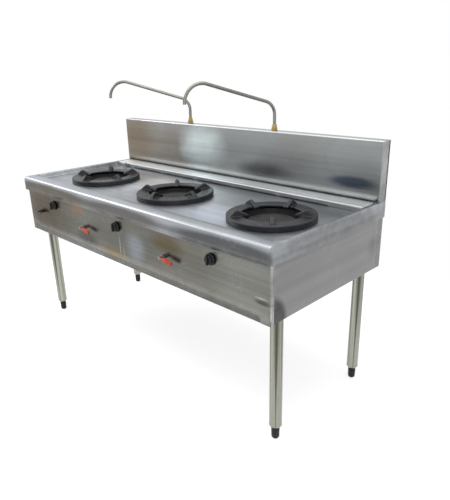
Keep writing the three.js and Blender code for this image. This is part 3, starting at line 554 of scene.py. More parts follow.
def span(node: str) -> tuple[np.ndarray, np.ndarray]:
    """The lowest and highest corners of a CAD node, in millimetres."""
    low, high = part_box(node)
    return np.array(low) / MM, np.array(high) / MM


def middle(node: str) -> np.ndarray:
    """The middle of a CAD node's box, in millimetres."""
    low, high = span(node)
    return (low + high) / 2


def lever_axis(station: str) -> tuple[float, float]:
    """The x and z of a lever valve's stem, from the valve's body."""
    x, _, z = middle(f"pilot_valve_{station}")
    return float(x), float(z)


# ---- Drawing materials ------------------------------------------------------------------------------

def shade(colour: Rgb) -> tuple[float, float, float, float]:
    """A display colour of 0..255 as the linear colour that renders to it."""
    value = np.asarray(colour, float) / 255
    linear = np.where(value <= 0.04045, value / 12.92, ((value + 0.055) / 1.055) ** 2.4)
    return (*linear.tolist(), 1.0)


class Sketch:
    """A node tree with short ways to add nodes and join them."""

    def __init__(self, tree: bpy.types.NodeTree) -> None:
        """Starts on an empty tree."""
        self.tree = tree

    def feed(self, node: bpy.types.Node, inputs: dict) -> None:
        """Sets a node's inputs: each value is a plain value or the socket that feeds it."""
        for key, value in inputs.items():
            if isinstance(value, Socket):
                self.tree.links.new(value, node.inputs[key])
            else:
                node.inputs[key].default_value = value

    def add(self, kind: str, inputs: dict | None = None, **settings: object) -> bpy.types.Node:
        """Adds a node with its settings and its inputs."""
        node = self.tree.nodes.new(kind)
        for name, value in settings.items():
            setattr(node, name, value)
        self.feed(node, inputs or {})
        return node

    def math(self, operation: str, *values: float | Socket) -> Socket:
        """One Math node's result."""
        return self.add("ShaderNodeMath", dict(enumerate(values)), operation=operation).outputs[0]

    def vector(self, operation: str, *values: object) -> bpy.types.Node:
        """One Vector Math node."""
        return self.add("ShaderNodeVectorMath", dict(enumerate(values)), operation=operation)

    def blend(self, value: Socket, low: float, high: float, to_low: float = 0.0,
              to_high: float = 1.0) -> Socket:
        """A value eased from to_low to to_high as it goes from low to high."""
        return self.add("ShaderNodeMapRange", {"Value": value, "From Min": low, "From Max": high,
                                               "To Min": to_low, "To Max": to_high},
                        interpolation_type="SMOOTHSTEP").outputs[0]

    def mix(self, factor: float | Socket, first: object, second: object, mode: str = "MIX") -> Socket:
        """Two colours mixed."""
        return self.add("ShaderNodeMix", {0: factor, 6: first, 7: second}, data_type="RGBA",
                        blend_type=mode).outputs[2]

    def noise(self, vector: Socket, scale: float | Socket, detail: float = 3.0, rough: float = 0.55,
              distortion: float = 0.0) -> bpy.types.Node:
        """One Noise Texture node."""
        return self.add("ShaderNodeTexNoise", {"Vector": vector, "Scale": scale, "Detail": detail,
                                               "Roughness": rough, "Distortion": distortion})

    def tint(self, colour: Socket, amount: float | Socket) -> Socket:
        """A colour made lighter or darker by a factor about 1."""
        grey = self.add("ShaderNodeCombineColor", {0: amount, 1: amount, 2: amount}).outputs[0]
        return self.mix(1.0, colour, grey, "MULTIPLY")

    def group(self, tree: bpy.types.NodeTree, inputs: dict) -> bpy.types.Node:
        """Places a shared node group with its own values."""
        return self.add("ShaderNodeGroup", inputs, node_tree=tree)


Ports = dict[str, str]


def shared(name: str, inputs: Ports, outputs: Ports,
           draw: Callable[[Sketch, bpy.types.Node], dict[str, Socket]]) -> bpy.types.NodeTree:
    """A node group with named inputs and outputs, built the first time it is asked for.

    Args:
        name: the group's name.
        inputs: input names and kinds, VECTOR or FLOAT.
        outputs: output names and kinds.
        draw: adds the nodes, and gives the socket for each output.

    Returns:
        The group.
    """
    known = bpy.data.node_groups.get(name)
    if known:
        return known
    tree = bpy.data.node_groups.new(name, "ShaderNodeTree")
    kinds = {"VECTOR": "NodeSocketVector", "FLOAT": "NodeSocketFloat"}
    for way, ports in (("INPUT", inputs), ("OUTPUT", outputs)):
        for port, kind in ports.items():
            tree.interface.new_socket(port, in_out=way, socket_type=kinds[kind])
    sketch = Sketch(tree)
    results = draw(sketch, sketch.add("NodeGroupInput"))
    sketch.add("NodeGroupOutput", results)
    return tree


def grain_group() -> bpy.types.NodeTree:
    """Brushing: fine lines, and broader bands that run the same way."""
    def draw(s: Sketch, given: bpy.types.Node) -> dict[str, Socket]:
        """Noise over coordinates multiplied per axis, so that it is drawn out along the brushing."""
        stretched = s.vector("MULTIPLY", given.outputs["Vector"], given.outputs["Stretch"]).outputs[0]
        broad = s.vector("MULTIPLY", stretched, (0.1, 0.1, 0.1)).outputs[0]
        return {"Line": s.noise(stretched, 1.0, 6.0, 0.7).outputs[0],
                "Band": s.noise(broad, 1.0, 3.0, 0.55, 0.2).outputs[0]}
    return shared("brushed grain", {"Vector": "VECTOR", "Stretch": "VECTOR"},
                  {"Line": "FLOAT", "Band": "FLOAT"}, draw)


def clouds_group() -> bpy.types.NodeTree:
    """Cloudy stains: a broad soft one, and small wiped marks."""
    def draw(s: Sketch, given: bpy.types.Node) -> dict[str, Socket]:
        """Two noises, warped, each pushed apart by a smooth step."""
        where, size = given.outputs["Vector"], given.outputs["Scale"]
        cloud = s.noise(where, size, 3.0, 0.5, 0.5).outputs[0]
        marks = s.noise(where, s.math("MULTIPLY", size, 6.0), 4.0, 0.6, 0.8).outputs[0]
        return {"Cloud": s.blend(cloud, 0.3, 0.7), "Marks": s.blend(marks, 0.5, 0.8)}
    return shared("clouded metal", {"Vector": "VECTOR", "Scale": "FLOAT"},
                  {"Cloud": "FLOAT", "Marks": "FLOAT"}, draw)


def patch_group() -> bpy.types.NodeTree:
    """One soft-edged patch: an ellipsoid whose edge wanders."""
    def draw(s: Sketch, given: bpy.types.Node) -> dict[str, Socket]:
        """The distance |(place + wander - centre) / radii|, eased from 1 inside 0.3 to 0 at 1."""
        noise = s.noise(given.outputs["Vector"], 9.0, 3.0, 0.6).outputs["Color"]
        centred = s.vector("SUBTRACT", noise, (0.5, 0.5, 0.5)).outputs[0]
        wander = s.vector("MULTIPLY", centred, given.outputs["Radii"]).outputs[0]
        ragged = s.add("ShaderNodeVectorMath", {0: wander, "Scale": given.outputs["Ragged"]},
                       operation="SCALE").outputs[0]
        offset = s.vector("SUBTRACT", given.outputs["Vector"], given.outputs["Centre"]).outputs[0]
        reach = s.vector("DIVIDE", s.vector("ADD", offset, ragged).outputs[0], given.outputs["Radii"])
        distance = s.vector("LENGTH", reach.outputs[0]).outputs["Value"]
        return {"Mask": s.blend(distance, given.outputs["Core"], 1.0, 1.0, 0.0)}
    return shared("soft patch", {"Vector": "VECTOR", "Centre": "VECTOR", "Radii": "VECTOR",
                                 "Ragged": "FLOAT", "Core": "FLOAT"}, {"Mask": "FLOAT"}, draw)


def wear_group() -> bpy.types.NodeTree:
    """Rubbed edges: the mesh's own convex edges, broken up by a noise."""
    def draw(s: Sketch, given: bpy.types.Node) -> dict[str, Socket]:
        """Pointiness above the flat value of 0.5, times a mottled mask."""
        edge = s.add("ShaderNodeNewGeometry").outputs["Pointiness"]
        keen = s.blend(edge, 0.505, given.outputs["Keen"])
        broken = s.blend(s.noise(given.outputs["Vector"], 24.0, 3.0, 0.55).outputs[0], 0.32, 0.68)
        return {"Mask": s.math("MULTIPLY", keen, broken)}
    return shared("rubbed edges", {"Vector": "VECTOR", "Keen": "FLOAT"}, {"Mask": "FLOAT"}, draw)


def scratch_group() -> bpy.types.NodeTree:
    """Fine crossing scratches."""
    def draw(s: Sketch, given: bpy.types.Node) -> dict[str, Socket]:
        """Thin bands where a drawn-out noise passes its middle, for two slants, thinned out by clouds."""
        masks = []
        for slant in (0.5, -0.9):
            turned = s.add("ShaderNodeMapping", {"Vector": given.outputs["Vector"],
                                                 "Rotation": (slant, slant, slant)}).outputs[0]
            drawn = s.vector("MULTIPLY", turned, (1.0, 14.0, 9.0)).outputs[0]
            noise = s.noise(drawn, given.outputs["Scale"], 2.0, 0.5).outputs[0]
            away = s.math("ABSOLUTE", s.math("SUBTRACT", noise, 0.5))
            masks.append(s.blend(away, 0.0, 0.012, 1.0, 0.0))
        some = s.blend(s.noise(given.outputs["Vector"], 5.0, 2.0).outputs[0], 0.5, 0.66)
        return {"Mask": s.math("MULTIPLY", s.math("MAXIMUM", *masks), some)}
    return shared("fine scratches", {"Vector": "VECTOR", "Scale": "FLOAT"}, {"Mask": "FLOAT"}, draw)


def skin_group() -> bpy.types.NodeTree:
    """The skin of a casting: a pebbled height, and stains."""
    def draw(s: Sketch, given: bpy.types.Node) -> dict[str, Socket]:
        """A fine noise over a coarser one for the height; a third, eased, for the stains."""
        where, grain = given.outputs["Vector"], given.outputs["Grain"]
        fine = s.noise(where, grain, 4.0, 0.6).outputs[0]
        coarse = s.noise(where, s.math("MULTIPLY", grain, 0.25), 2.0, 0.5).outputs[0]
        height = s.math("ADD", s.math("MULTIPLY", fine, 0.4), s.math("MULTIPLY", coarse, 0.6))
        stain = s.blend(s.noise(where, s.math("MULTIPLY", grain, 0.05), 4.0, 0.65, 0.8).outputs[0], 0.4, 0.62)
        return {"Height": height, "Stain": stain}
    return shared("cast skin", {"Vector": "VECTOR", "Grain": "FLOAT"},
                  {"Height": "FLOAT", "Stain": "FLOAT"}, draw)


def new_material(name: str) -> tuple[bpy.types.Material, Sketch, bpy.types.Node, Socket]:
    """An empty material with its sketch, its Principled shader and the object's own coordinates."""
    material = bpy.data.materials.new(name)
    material.use_nodes = True
    sketch = Sketch(material.node_tree)
    shader = material.node_tree.nodes["Principled BSDF"]
    where = sketch.add("ShaderNodeTexCoord").outputs["Object"]
    return material, sketch, shader, where


class Run(Enum):
    """Which way a finish's brushing runs: lines per metre along X, Y and Z."""

    ACROSS = (2.2, 260.0, 260.0)
    DEPTH = (260.0, 2.2, 260.0)
    UPRIGHT = (260.0, 260.0, 2.2)
    ROUND = (90.0, 90.0, 90.0)


@dataclass(frozen=True)
class Tone:
    """A patch of another colour on a finish: where it is, how far it goes and how strong it is. The steel
    finishes use it for painted reflections, highlights and shadows, the wing for its red tip.
    """

    colour: Rgb
    centre: Triple
    radii: Triple
    strength: float = 1.0
    ragged: float = 0.35
    core: float = 0.2


def patched(s: Sketch, where: Socket, colour: object, patches_and_painted_light: Sequence[Tone]) -> object:
    """A colour with each tone's patch laid over the last.

    Args:
        s: the material's sketch.
        where: the object's coordinates.
        colour: the colour under the patches.
        patches_and_painted_light: the patches in order; on the steel finishes they are painted reflections,
            highlights and shadows.

    Returns:
        The colour with its patches.
    """
    for tone in patches_and_painted_light:
        mask = s.group(patch_group(), {
            "Vector": where, "Centre": [c * MM for c in tone.centre],
            "Radii": [r * MM for r in tone.radii], "Ragged": tone.ragged, "Core": tone.core}).outputs[0]
        colour = s.mix(s.math("MULTIPLY", mask, tone.strength), colour, shade(tone.colour))
    return colour


@dataclass(frozen=True)
class Finish:
    """What every finish has: a name and the record's slot."""

    name: str
    slot: str

    def material(self) -> bpy.types.Material:
        """Builds the finish's material."""
        raise NotImplementedError


@dataclass(frozen=True)
class SheetSteel(Finish):
    """Brushed stainless sheet with stains, soft patches of painted reflection and shade, scratches and rubbed
    edges.
    """

    colour: Rgb = (140, 141, 140)
    run: Run = Run.ACROSS
    roughness: float = 0.32
    lines: float = 0.10
    bands: float = 0.16
    cloud_colour: Rgb = (150, 156, 160)
    cloud_scale: float = 4.0
    clouds: float = 0.35
    marks: float = 0.25
    scratches: float = 0.16
    edges: float = 0.1
    patches_and_painted_light: tuple[Tone, ...] = ()

    def material(self) -> bpy.types.Material:
        """Base colour, then listed patches of painted light, clouds, brushing, scratches and edges, each over
        the last.
        """
        material, s, shader, where = new_material(self.name)
        grain = s.group(grain_group(), {"Vector": where, "Stretch": self.run.value})
        clouds = s.group(clouds_group(), {"Vector": where, "Scale": self.cloud_scale})
        colour = s.mix(s.math("MULTIPLY", clouds.outputs["Cloud"], self.clouds), shade(self.colour),
                       shade(self.cloud_colour))
        # Painted reflections, highlights and shadows laid over the base colour.
        colour = patched(s, where, colour, self.patches_and_painted_light)
        band = s.blend(grain.outputs["Band"], 0.3, 0.7, 1 - self.bands, 1 + self.bands)
        line = s.blend(grain.outputs["Line"], 0.3, 0.7, 1 - self.lines, 1 + self.lines)
        colour = s.tint(s.tint(colour, band), line)
        smudge = s.math("MULTIPLY", clouds.outputs["Marks"], self.marks)
        colour = s.mix(smudge, colour, s.tint(colour, 0.72))
        scratch = s.group(scratch_group(), {"Vector": where, "Scale": 7.0}).outputs[0]
        edge = s.group(wear_group(), {"Vector": where, "Keen": 0.6}).outputs[0]
        bright = s.math("MAXIMUM", s.math("MULTIPLY", scratch, self.scratches),
                        s.math("MULTIPLY", edge, self.edges))
        colour = s.mix(bright, colour, shade(BARE_STEEL))
        rough = s.math("ADD", s.blend(grain.outputs["Line"], 0.3, 0.7, self.roughness - 0.05,
                                      self.roughness + 0.06), s.math("MULTIPLY", smudge, 0.35))
        bump = s.add("ShaderNodeBump",
                     {"Height": grain.outputs["Line"], "Strength": 0.12, "Distance": 0.0004})
        dent = s.add("ShaderNodeBump", {"Height": s.noise(where, 5.5, 2.0, 0.4).outputs[0], "Strength": 0.35,
                                        "Distance": 0.004, "Normal": bump.outputs[0]})
        s.feed(shader, {"Base Color": colour, "Roughness": rough, "Metallic": 1.0, "Normal": dent.outputs[0]})
        return material


@dataclass(frozen=True)
class TubeSteel(Finish):
    """Polished or satin tube: long soft painted reflection streaks that narrow downwards, fingerprints and
    grime.
    """

    colour: Rgb = (168, 170, 168)
    reflection_streak_colour: Rgb = (84, 85, 80)
    axis: tuple[float, float] = (0.0, 0.0)
    turn: float = 0.0
    painted_reflection_streaks: tuple[tuple[float, float, float], ...] = ()
    run: Run = Run.UPRIGHT
    roughness: float = 0.2
    grime: float = 0.3

    def material(self) -> bpy.types.Material:
        """Painted reflection streaks by the angle about the tube's own axis; brushing and grime over them."""
        material, s, shader, where = new_material(self.name)
        grain = s.group(grain_group(), {"Vector": where, "Stretch": self.run.value})
        clouds = s.group(clouds_group(), {"Vector": where, "Scale": 14.0})
        colour: object = shade(self.colour)
        # Painted reflections: dark bands at fixed angles round the tube, narrower towards the floor.
        if self.painted_reflection_streaks:
            split = s.add("ShaderNodeSeparateXYZ", {0: where})
            across = s.math("SUBTRACT", split.outputs[0], self.axis[0] * MM)
            deep = s.math("SUBTRACT", split.outputs[1], self.axis[1] * MM)
            narrow = s.blend(split.outputs[2], 0.08, 0.62, 0.2, 1.4)
            for angle, width, strength in self.painted_reflection_streaks:
                way = math.radians(angle + self.turn)
                along = s.math("ADD", s.math("MULTIPLY", across, math.cos(way)),
                               s.math("MULTIPLY", deep, math.sin(way)))
                beside = s.math("ABSOLUTE", s.math("ADD", s.math("MULTIPLY", across, -math.sin(way)),
                                                   s.math("MULTIPLY", deep, math.cos(way))))
                near = s.blend(s.math("DIVIDE", beside, narrow), 0.0, width * MM, 1.0, 0.0)
                front = s.blend(along, 0.0, 0.004, 0.0, strength)
                colour = s.mix(s.math("MULTIPLY", near, front), colour, shade(self.reflection_streak_colour))
        line = s.blend(grain.outputs["Line"], 0.3, 0.7, 0.92, 1.08)
        band = s.blend(grain.outputs["Band"], 0.3, 0.7, 0.86, 1.12)
        colour = s.tint(s.tint(colour, line), band)
        dirt = s.math("MULTIPLY", clouds.outputs["Marks"], self.grime)
        colour = s.mix(dirt, colour, shade(GRIME))
        rough = s.math("ADD", self.roughness, s.math("MULTIPLY", dirt, 0.4))
        bump = s.add("ShaderNodeBump",
                     {"Height": grain.outputs["Line"], "Strength": 0.08, "Distance": 0.0003})
        s.feed(shader, {"Base Color": colour, "Roughness": rough, "Metallic": 1.0, "Normal": bump.outputs[0]})
        return material


@dataclass(frozen=True)
class Casting(Finish):
    """Cast or black-coated metal: pebbled skin, stains, greyer where hands and pans rub it."""

    colour: Rgb = (34, 35, 40)
    stain_colour: Rgb = (58, 60, 70)
    edge_colour: Rgb = (126, 130, 140)
    roughness: float = 0.42
    grain: float = 420.0
    skin: float = 0.35
    stains: float = 0.6
    edges: float = 0.5
    metallic: float = 0.0
    ior: float = 1.6
    patches_and_painted_light: tuple[Tone, ...] = ()

    def material(self) -> bpy.types.Material:
        """Stains and patches over the base colour, rubbed edges last, with the skin as a bump."""
        material, s, shader, where = new_material(self.name)
        skin = s.group(skin_group(), {"Vector": where, "Grain": self.grain})
        colour = s.mix(s.math("MULTIPLY", skin.outputs["Stain"], self.stains), shade(self.colour),
                       shade(self.stain_colour))
        colour = patched(s, where, colour, self.patches_and_painted_light)
        edge = s.group(wear_group(), {"Vector": where, "Keen": 0.58}).outputs[0]
        colour = s.mix(s.math("MULTIPLY", edge, self.edges), colour, shade(self.edge_colour))
        rough = s.blend(skin.outputs["Stain"], 0.0, 1.0, self.roughness, self.roughness + 0.12)
        bump = s.add("ShaderNodeBump", {"Height": skin.outputs["Height"], "Strength": self.skin,
                                        "Distance": 0.0012})
        s.feed(shader, {"Base Color": colour, "Roughness": rough, "Metallic": self.metallic, "IOR": self.ior,
                        "Normal": bump.outputs[0]})
        return material


# ---- The object's finishes --------------------------------------------------------------------------

# The worktop, ledge, backsplash, apron and side finishes are one stainless steel in lighter and darker copies,
# so their base colours are painted light and shade: the ledge top lightest, the tray light, the backsplash and
# side mid grey, the apron dark.
WORKTOP = SheetSteel(
    "worktop_steel", "brushed_sheet", colour=(160, 164, 168), run=Run.ACROSS, roughness=0.38, lines=0.06,
    bands=0.12, cloud_colour=(184, 188, 196), cloud_scale=5.0, clouds=0.35, marks=0.2,
    # Painted light: reflections and shade on the front lip and the right-hand lip, light bluish reflections
    # and darker shade on the tray.
    patches_and_painted_light=(
        Tone((96, 90, 78), (-640, -381, 803), (620, 30, 44), 0.92, 0.2, 0.5),
        Tone((98, 96, 92), (40, -381, 803), (420, 30, 44), 0.9, 0.2, 0.5),
        Tone((80, 81, 82), (700, -381, 803), (420, 30, 44), 0.92, 0.2, 0.5),
        Tone((112, 113, 114), (900, 0, 812), (30, 480, 56), 0.7, 0.3, 0.4),
        Tone((222, 226, 230), (-260, 40, 826), (190, 260, 30), 0.75),
        Tone((196, 202, 214), (420, -180, 826), (300, 200, 30), 0.75),
        Tone((120, 122, 124), (720, 160, 826), (260, 130, 30), 0.75),
        Tone((126, 126, 124), (-800, 60, 826), (160, 240, 30), 0.7),
        Tone((104, 104, 106), (60, 200, 826), (700, 60, 30), 0.5),
    ))
# A lighter copy of the steel for the ledge's lit top, as painted light; its patches are a painted grey shade
# on the front face and a painted shadow line at its foot.
LEDGE = SheetSteel(
    "ledge_steel", "brushed_sheet", colour=(222, 224, 225), roughness=0.5, lines=0.05, bands=0.08,
    cloud_colour=(222, 226, 228), cloud_scale=6.0, clouds=0.4, marks=0.15,
    patches_and_painted_light=(Tone((122, 124, 124), (0, 240, 836), (1500, 12, 12), 0.85, 0.1, 0.6),
           Tone((64, 64, 62), (0, 240, 827), (1500, 12, 5), 0.8, 0.1, 0.4)))
BACKSPLASH = SheetSteel(
    "backsplash_steel", "brushed_sheet", colour=(146, 148, 147), roughness=0.33, lines=0.06, bands=0.11,
    cloud_colour=(162, 167, 169), cloud_scale=3.0, clouds=0.35, marks=0.12,
    # Painted reflections: brown at the left, light in the middle, darker and bluish at the right, with a
    # painted highlight along the top fold and a light band on the right-hand end.
    patches_and_painted_light=(
        Tone((124, 109, 91), (-800, 338, 980), (330, 60, 260), 0.85),
        Tone((126, 116, 104), (-460, 338, 960), (240, 60, 200), 0.6),
        Tone((222, 234, 234), (-190, 338, 990), (230, 60, 150), 0.85),
        Tone((92, 94, 96), (250, 338, 912), (240, 60, 62), 0.8),
        Tone((158, 160, 160), (770, 338, 1020), (150, 60, 110), 0.5, 0.1, 0.8),
        Tone((62, 74, 98), (765, 338, 922), (150, 60, 34), 0.8, 0.2, 0.4),
        Tone((216, 220, 222), (0, 342, 1107), (1500, 24, 6), 0.8, 0.05, 0.5),
        Tone((168, 170, 170), (900, 366, 980), (12, 60, 160), 0.8, 0.1),
    ))
# A darker copy of the steel for the apron, as painted shade; its patches are painted reflections: brown, olive
# and grey patches, two thin light lines under the middle knob, a light strip at the right-hand corner, and
# small dark and light bands near the right end.
APRON = SheetSteel(
    "apron_steel", "brushed_sheet", colour=(104, 104, 99), roughness=0.26, lines=0.08, bands=0.14,
    cloud_colour=(122, 118, 108), cloud_scale=4.5, clouds=0.4, marks=0.2,
    patches_and_painted_light=(
        Tone((76, 64, 44), (-760, -366, 700), (470, 60, 260), 0.95),
        Tone((132, 94, 74), (-370, -366, 755), (90, 60, 55), 0.6),
        Tone((58, 60, 50), (-300, -366, 612), (140, 60, 62), 0.75),
        Tone((116, 98, 60), (-60, -366, 590), (130, 60, 45), 0.8),
        Tone((142, 149, 155), (115, -366, 660), (100, 60, 90), 0.75),
        Tone((92, 80, 56), (340, -366, 725), (150, 60, 55), 0.8),
        Tone((184, 184, 176), (-6, -366, 640), (5, 60, 70), 0.6, 0.02, 0.2),
        Tone((158, 152, 112), (22, -366, 615), (5, 60, 64), 0.6, 0.02, 0.2),
        Tone((208, 210, 208), (896, -357, 700), (5, 14, 210), 0.85, 0.02, 0.8),
        Tone((126, 127, 122), (800, -366, 690), (300, 60, 200), 0.8),
        Tone((58, 58, 56), (858, -366, 628), (52, 60, 13), 0.75, 0.3, 0.3),
        Tone((190, 191, 188), (852, -366, 644), (44, 60, 5), 0.6, 0.4, 0.2),
    ))
SIDE = SheetSteel(
    "side_steel", "brushed_sheet", colour=(136, 137, 136), run=Run.DEPTH, roughness=0.3, lines=0.06,
    bands=0.09, cloud_colour=(148, 149, 148), cloud_scale=3.0, clouds=0.35, marks=0.12,
    # Painted reflections: a dark curved patch at the lower front corner and a darker patch towards the back.
    patches_and_painted_light=(
        Tone((62, 62, 62), (893, -366, 545), (40, 102, 124), 0.85, 0.08, 0.72),
        Tone((106, 106, 104), (893, 332, 662), (40, 66, 74), 0.5),
    ))
BACK = SheetSteel("back_steel", "brushed_sheet", colour=(142, 143, 142), cloud_scale=3.0, clouds=0.4,
                  marks=0.3, bands=0.1)
GUTTER = SheetSteel("gutter_steel", "brushed_sheet", colour=(112, 113, 110), cloud_scale=8.0, clouds=0.6,
                    marks=0.6)
FRAME = Casting("frame_paint", "frame_steel", colour=(108, 112, 116), stain_colour=(88, 88, 86),
                edge_colour=(150, 152, 154), roughness=0.45, grain=700.0, skin=0.12, stains=0.5)
# The rings' light bluish rubbed edges are wear and also a painted sheen along their edges.
CAST_IRON = Casting("ring_iron", "cast_iron", colour=(11, 11, 13), stain_colour=(27, 30, 41),
                    edge_colour=(104, 110, 124), roughness=0.36, grain=500.0, skin=0.3, edges=0.35, ior=1.5)
BOWL_IRON = Casting("bowl_iron", "cast_iron", colour=(25, 25, 27), stain_colour=(52, 48, 44), roughness=0.6,
                    grain=420.0, skin=0.5, edges=0.2)
HEAD_IRON = Casting("head_iron", "burner_iron", colour=(36, 36, 38), stain_colour=(58, 56, 58),
                    edge_colour=(110, 110, 110), roughness=0.6, grain=380.0, skin=0.4, edges=0.3, ior=1.4)
MIXER_IRON = Casting("mixer_iron", "cast_iron", colour=(48, 48, 48), stain_colour=(74, 68, 62),
                     roughness=0.6, grain=380.0, skin=0.4)
BRASS = TubeSteel("valve_brass", "brass", colour=(164, 140, 92), run=Run.ROUND, roughness=0.3, grime=0.45)
PIPE = TubeSteel("pipe_steel", "gas_pipe", colour=(140, 142, 136), run=Run.ROUND, roughness=0.4, grime=0.5)
SPOUT = TubeSteel("spout_satin", "spout_steel", colour=(140, 138, 132), run=Run.ROUND, roughness=0.3,
                  grime=0.35)
LEVER = TubeSteel("lever_strip", "spout_steel", colour=(158, 138, 134), run=Run.ROUND, roughness=0.3,
                  grime=0.3)
KNOB = Casting("knob_black", "black_plastic", colour=(11, 11, 12), stain_colour=(20, 20, 22),
               edge_colour=(96, 98, 102), roughness=0.34, grain=1500.0, skin=0.06, edges=0.25, ior=1.42)
FOOT = Casting("foot_black", "black_steel", colour=(10, 10, 11), stain_colour=(24, 23, 22),
               edge_colour=(100, 100, 100), roughness=0.45, grain=900.0, skin=0.12, edges=0.25, ior=1.4)
WING = Casting("wing_zinc", "dark_zinc", colour=(58, 66, 88), stain_colour=(74, 62, 66),
               edge_colour=(150, 156, 170), roughness=0.35, grain=900.0, skin=0.15, metallic=0.6,
               patches_and_painted_light=(Tone((118, 42, 44), (-738, -390, 665), (13, 20, 13), 0.85, 0.2, 0.4),))
VINYL = Casting("lever_vinyl", "orange_vinyl", colour=(214, 84, 44), stain_colour=(186, 62, 36),
                edge_colour=(236, 130, 92), roughness=0.42, grain=600.0, skin=0.1, stains=0.7, edges=0.25,
                ior=1.5)


# ---- Sheet metal ------------------------------------------------------------------------------------

@dataclass
class Worktop:
    """The pressed worktop: rounded front edge, turned-down lip and a sunken tray with three round holes."""

    half: float = 900.0
    front: float = -381.25
    back: float = 395.75
    top: float = 850.0
    lip_bottom: float = 778.0
    bullnose: float = 18.0
    fold: float = 3.0
    hem: float = 14.7
    tray_half: float = 889.5
    tray_front: float = -317.5
    tray_back: float = 338.7
    tray_depth: float = 24.0
    tray_corner: float = 26.0
    ramp: float = 12.0
    back_step: float = 1.6
    hole: float = 149.0
    gutter: tuple[float, float, float, float] = (-806.0, 806.0, 266.75, 313.75)

    def profile(self) -> FoldedProfile:
        """From the foot of the front lip, over the top, to the foot of the rear lip."""
        return FoldedProfile(
            ((self.front, self.lip_bottom), (self.front, self.top), (self.back, self.top),
             (self.back, self.lip_bottom)), (self.bullnose, self.fold + 0.01), 7.5)

    def sunk(self, points: np.ndarray) -> np.ndarray:
        """Lowers the tray.

        The distance in from a rounded rectangle is R - |(max(|x| - (half - R), 0), max(front + R - y, 0))|;
        the depth is the full depth times the smooth step of that distance over the ramp, and of the
        distance to the tray's straight back over the back step.
        """
        x, y = points[:, 0], points[:, 1]
        r = self.tray_corner
        side = np.maximum(np.abs(x) - (self.tray_half - r), 0)
        front = np.maximum(self.tray_front + r - y, 0)
        inside = r - np.hypot(side, front)
        deep = smooth(inside / self.ramp) * smooth((self.tray_back - y) / self.back_step)
        sunk = points.copy()
        sunk[:, 2] -= self.tray_depth * deep
        return sunk

    def build(self, shop: Workshop) -> None:
        """The lid with its tray, and the flat hem under the front lip."""
        profile = self.profile()
        lid = Lid(profile, self.half, self.fold, self.lip_bottom)
        lengths = profile.lengths()
        flat_start = lengths[np.argmax(profile.path()[:, 1] > self.top - 1e-6)]
        shift = flat_start - (self.front + self.bullnose)
        ramps = np.linspace(self.tray_front, self.tray_front + self.tray_corner, 15) + shift
        step = np.linspace(self.tray_back - self.back_step, self.tray_back, 4) + shift
        v = np.unique(np.r_[lines([*lengths, *ramps[[0, -1]], *step[[0, -1]]], 42.0), ramps, step])
        edge = np.linspace(self.tray_half - self.tray_corner, self.tray_half, 15)
        u = lid.lines_across(60.0, edge, -edge)
        holes = []
        for station in STATIONS:
            x, y, _ = middle(f"fire_bowl_{station}")
            holes.append(RoundHole(x, y + shift, self.hole, self.hole + 13.0, 18, 4))
        x0, x1, y0, y1 = self.gutter
        v = crossed(v, *[h.around(h.v) for h in holes], [y0 + shift, y1 + shift])
        sheet = net(u, v, holes, [Opening(x0, x1, y0 + shift, y1 + shift)])
        shaped = sheet.mapped(lambda p: self.sunk(lid.place(p)))
        arc = lengths[profile.path()[:, 1] > self.top - self.bullnose - 1e-6]
        rear = lengths[-1] - (self.top - self.lip_bottom - self.fold)
        ends = lid.ends(v, arc[0], rear)
        inner = self.half - self.fold
        hem = grid(np.array([[[x, y, self.lip_bottom + 0.01] for x in (-inner, 0, inner)]
                             for y in (self.front + 0.5, self.front + self.hem)]))
        shop.piece("worktop_sheet", [shaped, ends], WORKTOP, "cabinet", replaces=["worktop"],
                   facing=(0, 0, 1), thickness=2.0, crease=50.0)
        shop.piece("worktop_hem", [hem], WORKTOP, "cabinet", facing=(0, 0, -1), thickness=1.5)


@dataclass
class GutterCover:
    """The raised ledge over the gutter: a lid on short feet, with drain slots between them."""

    half: float = 877.5
    front: float = 240.75
    back: float = 337.4
    bottom: float = 826.35
    top: float = 850.0
    fold: float = 2.6
    slot_height: float = 4.0
    slot_length: float = 266.0
    pitch: float = 290.0
    count: int = 5

    def build(self, shop: Workshop) -> None:
        """A lid with a profile up the front, over the top and down the back."""
        profile = FoldedProfile(((self.front, self.bottom), (self.front, self.top), (self.back, self.top),
                                 (self.back, self.bottom)), (self.fold + 0.01, self.fold + 0.01), 22.5)
        lid = Lid(profile, self.half, self.fold, self.bottom, 3)
        lengths = profile.lengths()
        v = lines([*lengths, self.slot_height], 40.0)
        u = lid.lines_across(80.0)
        first = -(self.count - 1) * self.pitch / 2
        v = crossed(v, [0.0, self.slot_height])
        slots = [Opening(first + i * self.pitch - self.slot_length / 2,
                         first + i * self.pitch + self.slot_length / 2, 0.0, self.slot_height)
                 for i in range(self.count)]
        sheet = net(u, v, openings=slots).mapped(lid.place)
        rise = self.top - self.bottom - self.fold
        ends = lid.ends(v, rise - 0.1, lengths[-1] - rise + 0.1)
        shop.piece("gutter_cover_sheet", [sheet, ends], LEDGE, "cabinet", replaces=["gutter_cover"],
                   facing=(0, 0, 1), thickness=2.0, crease=50.0)


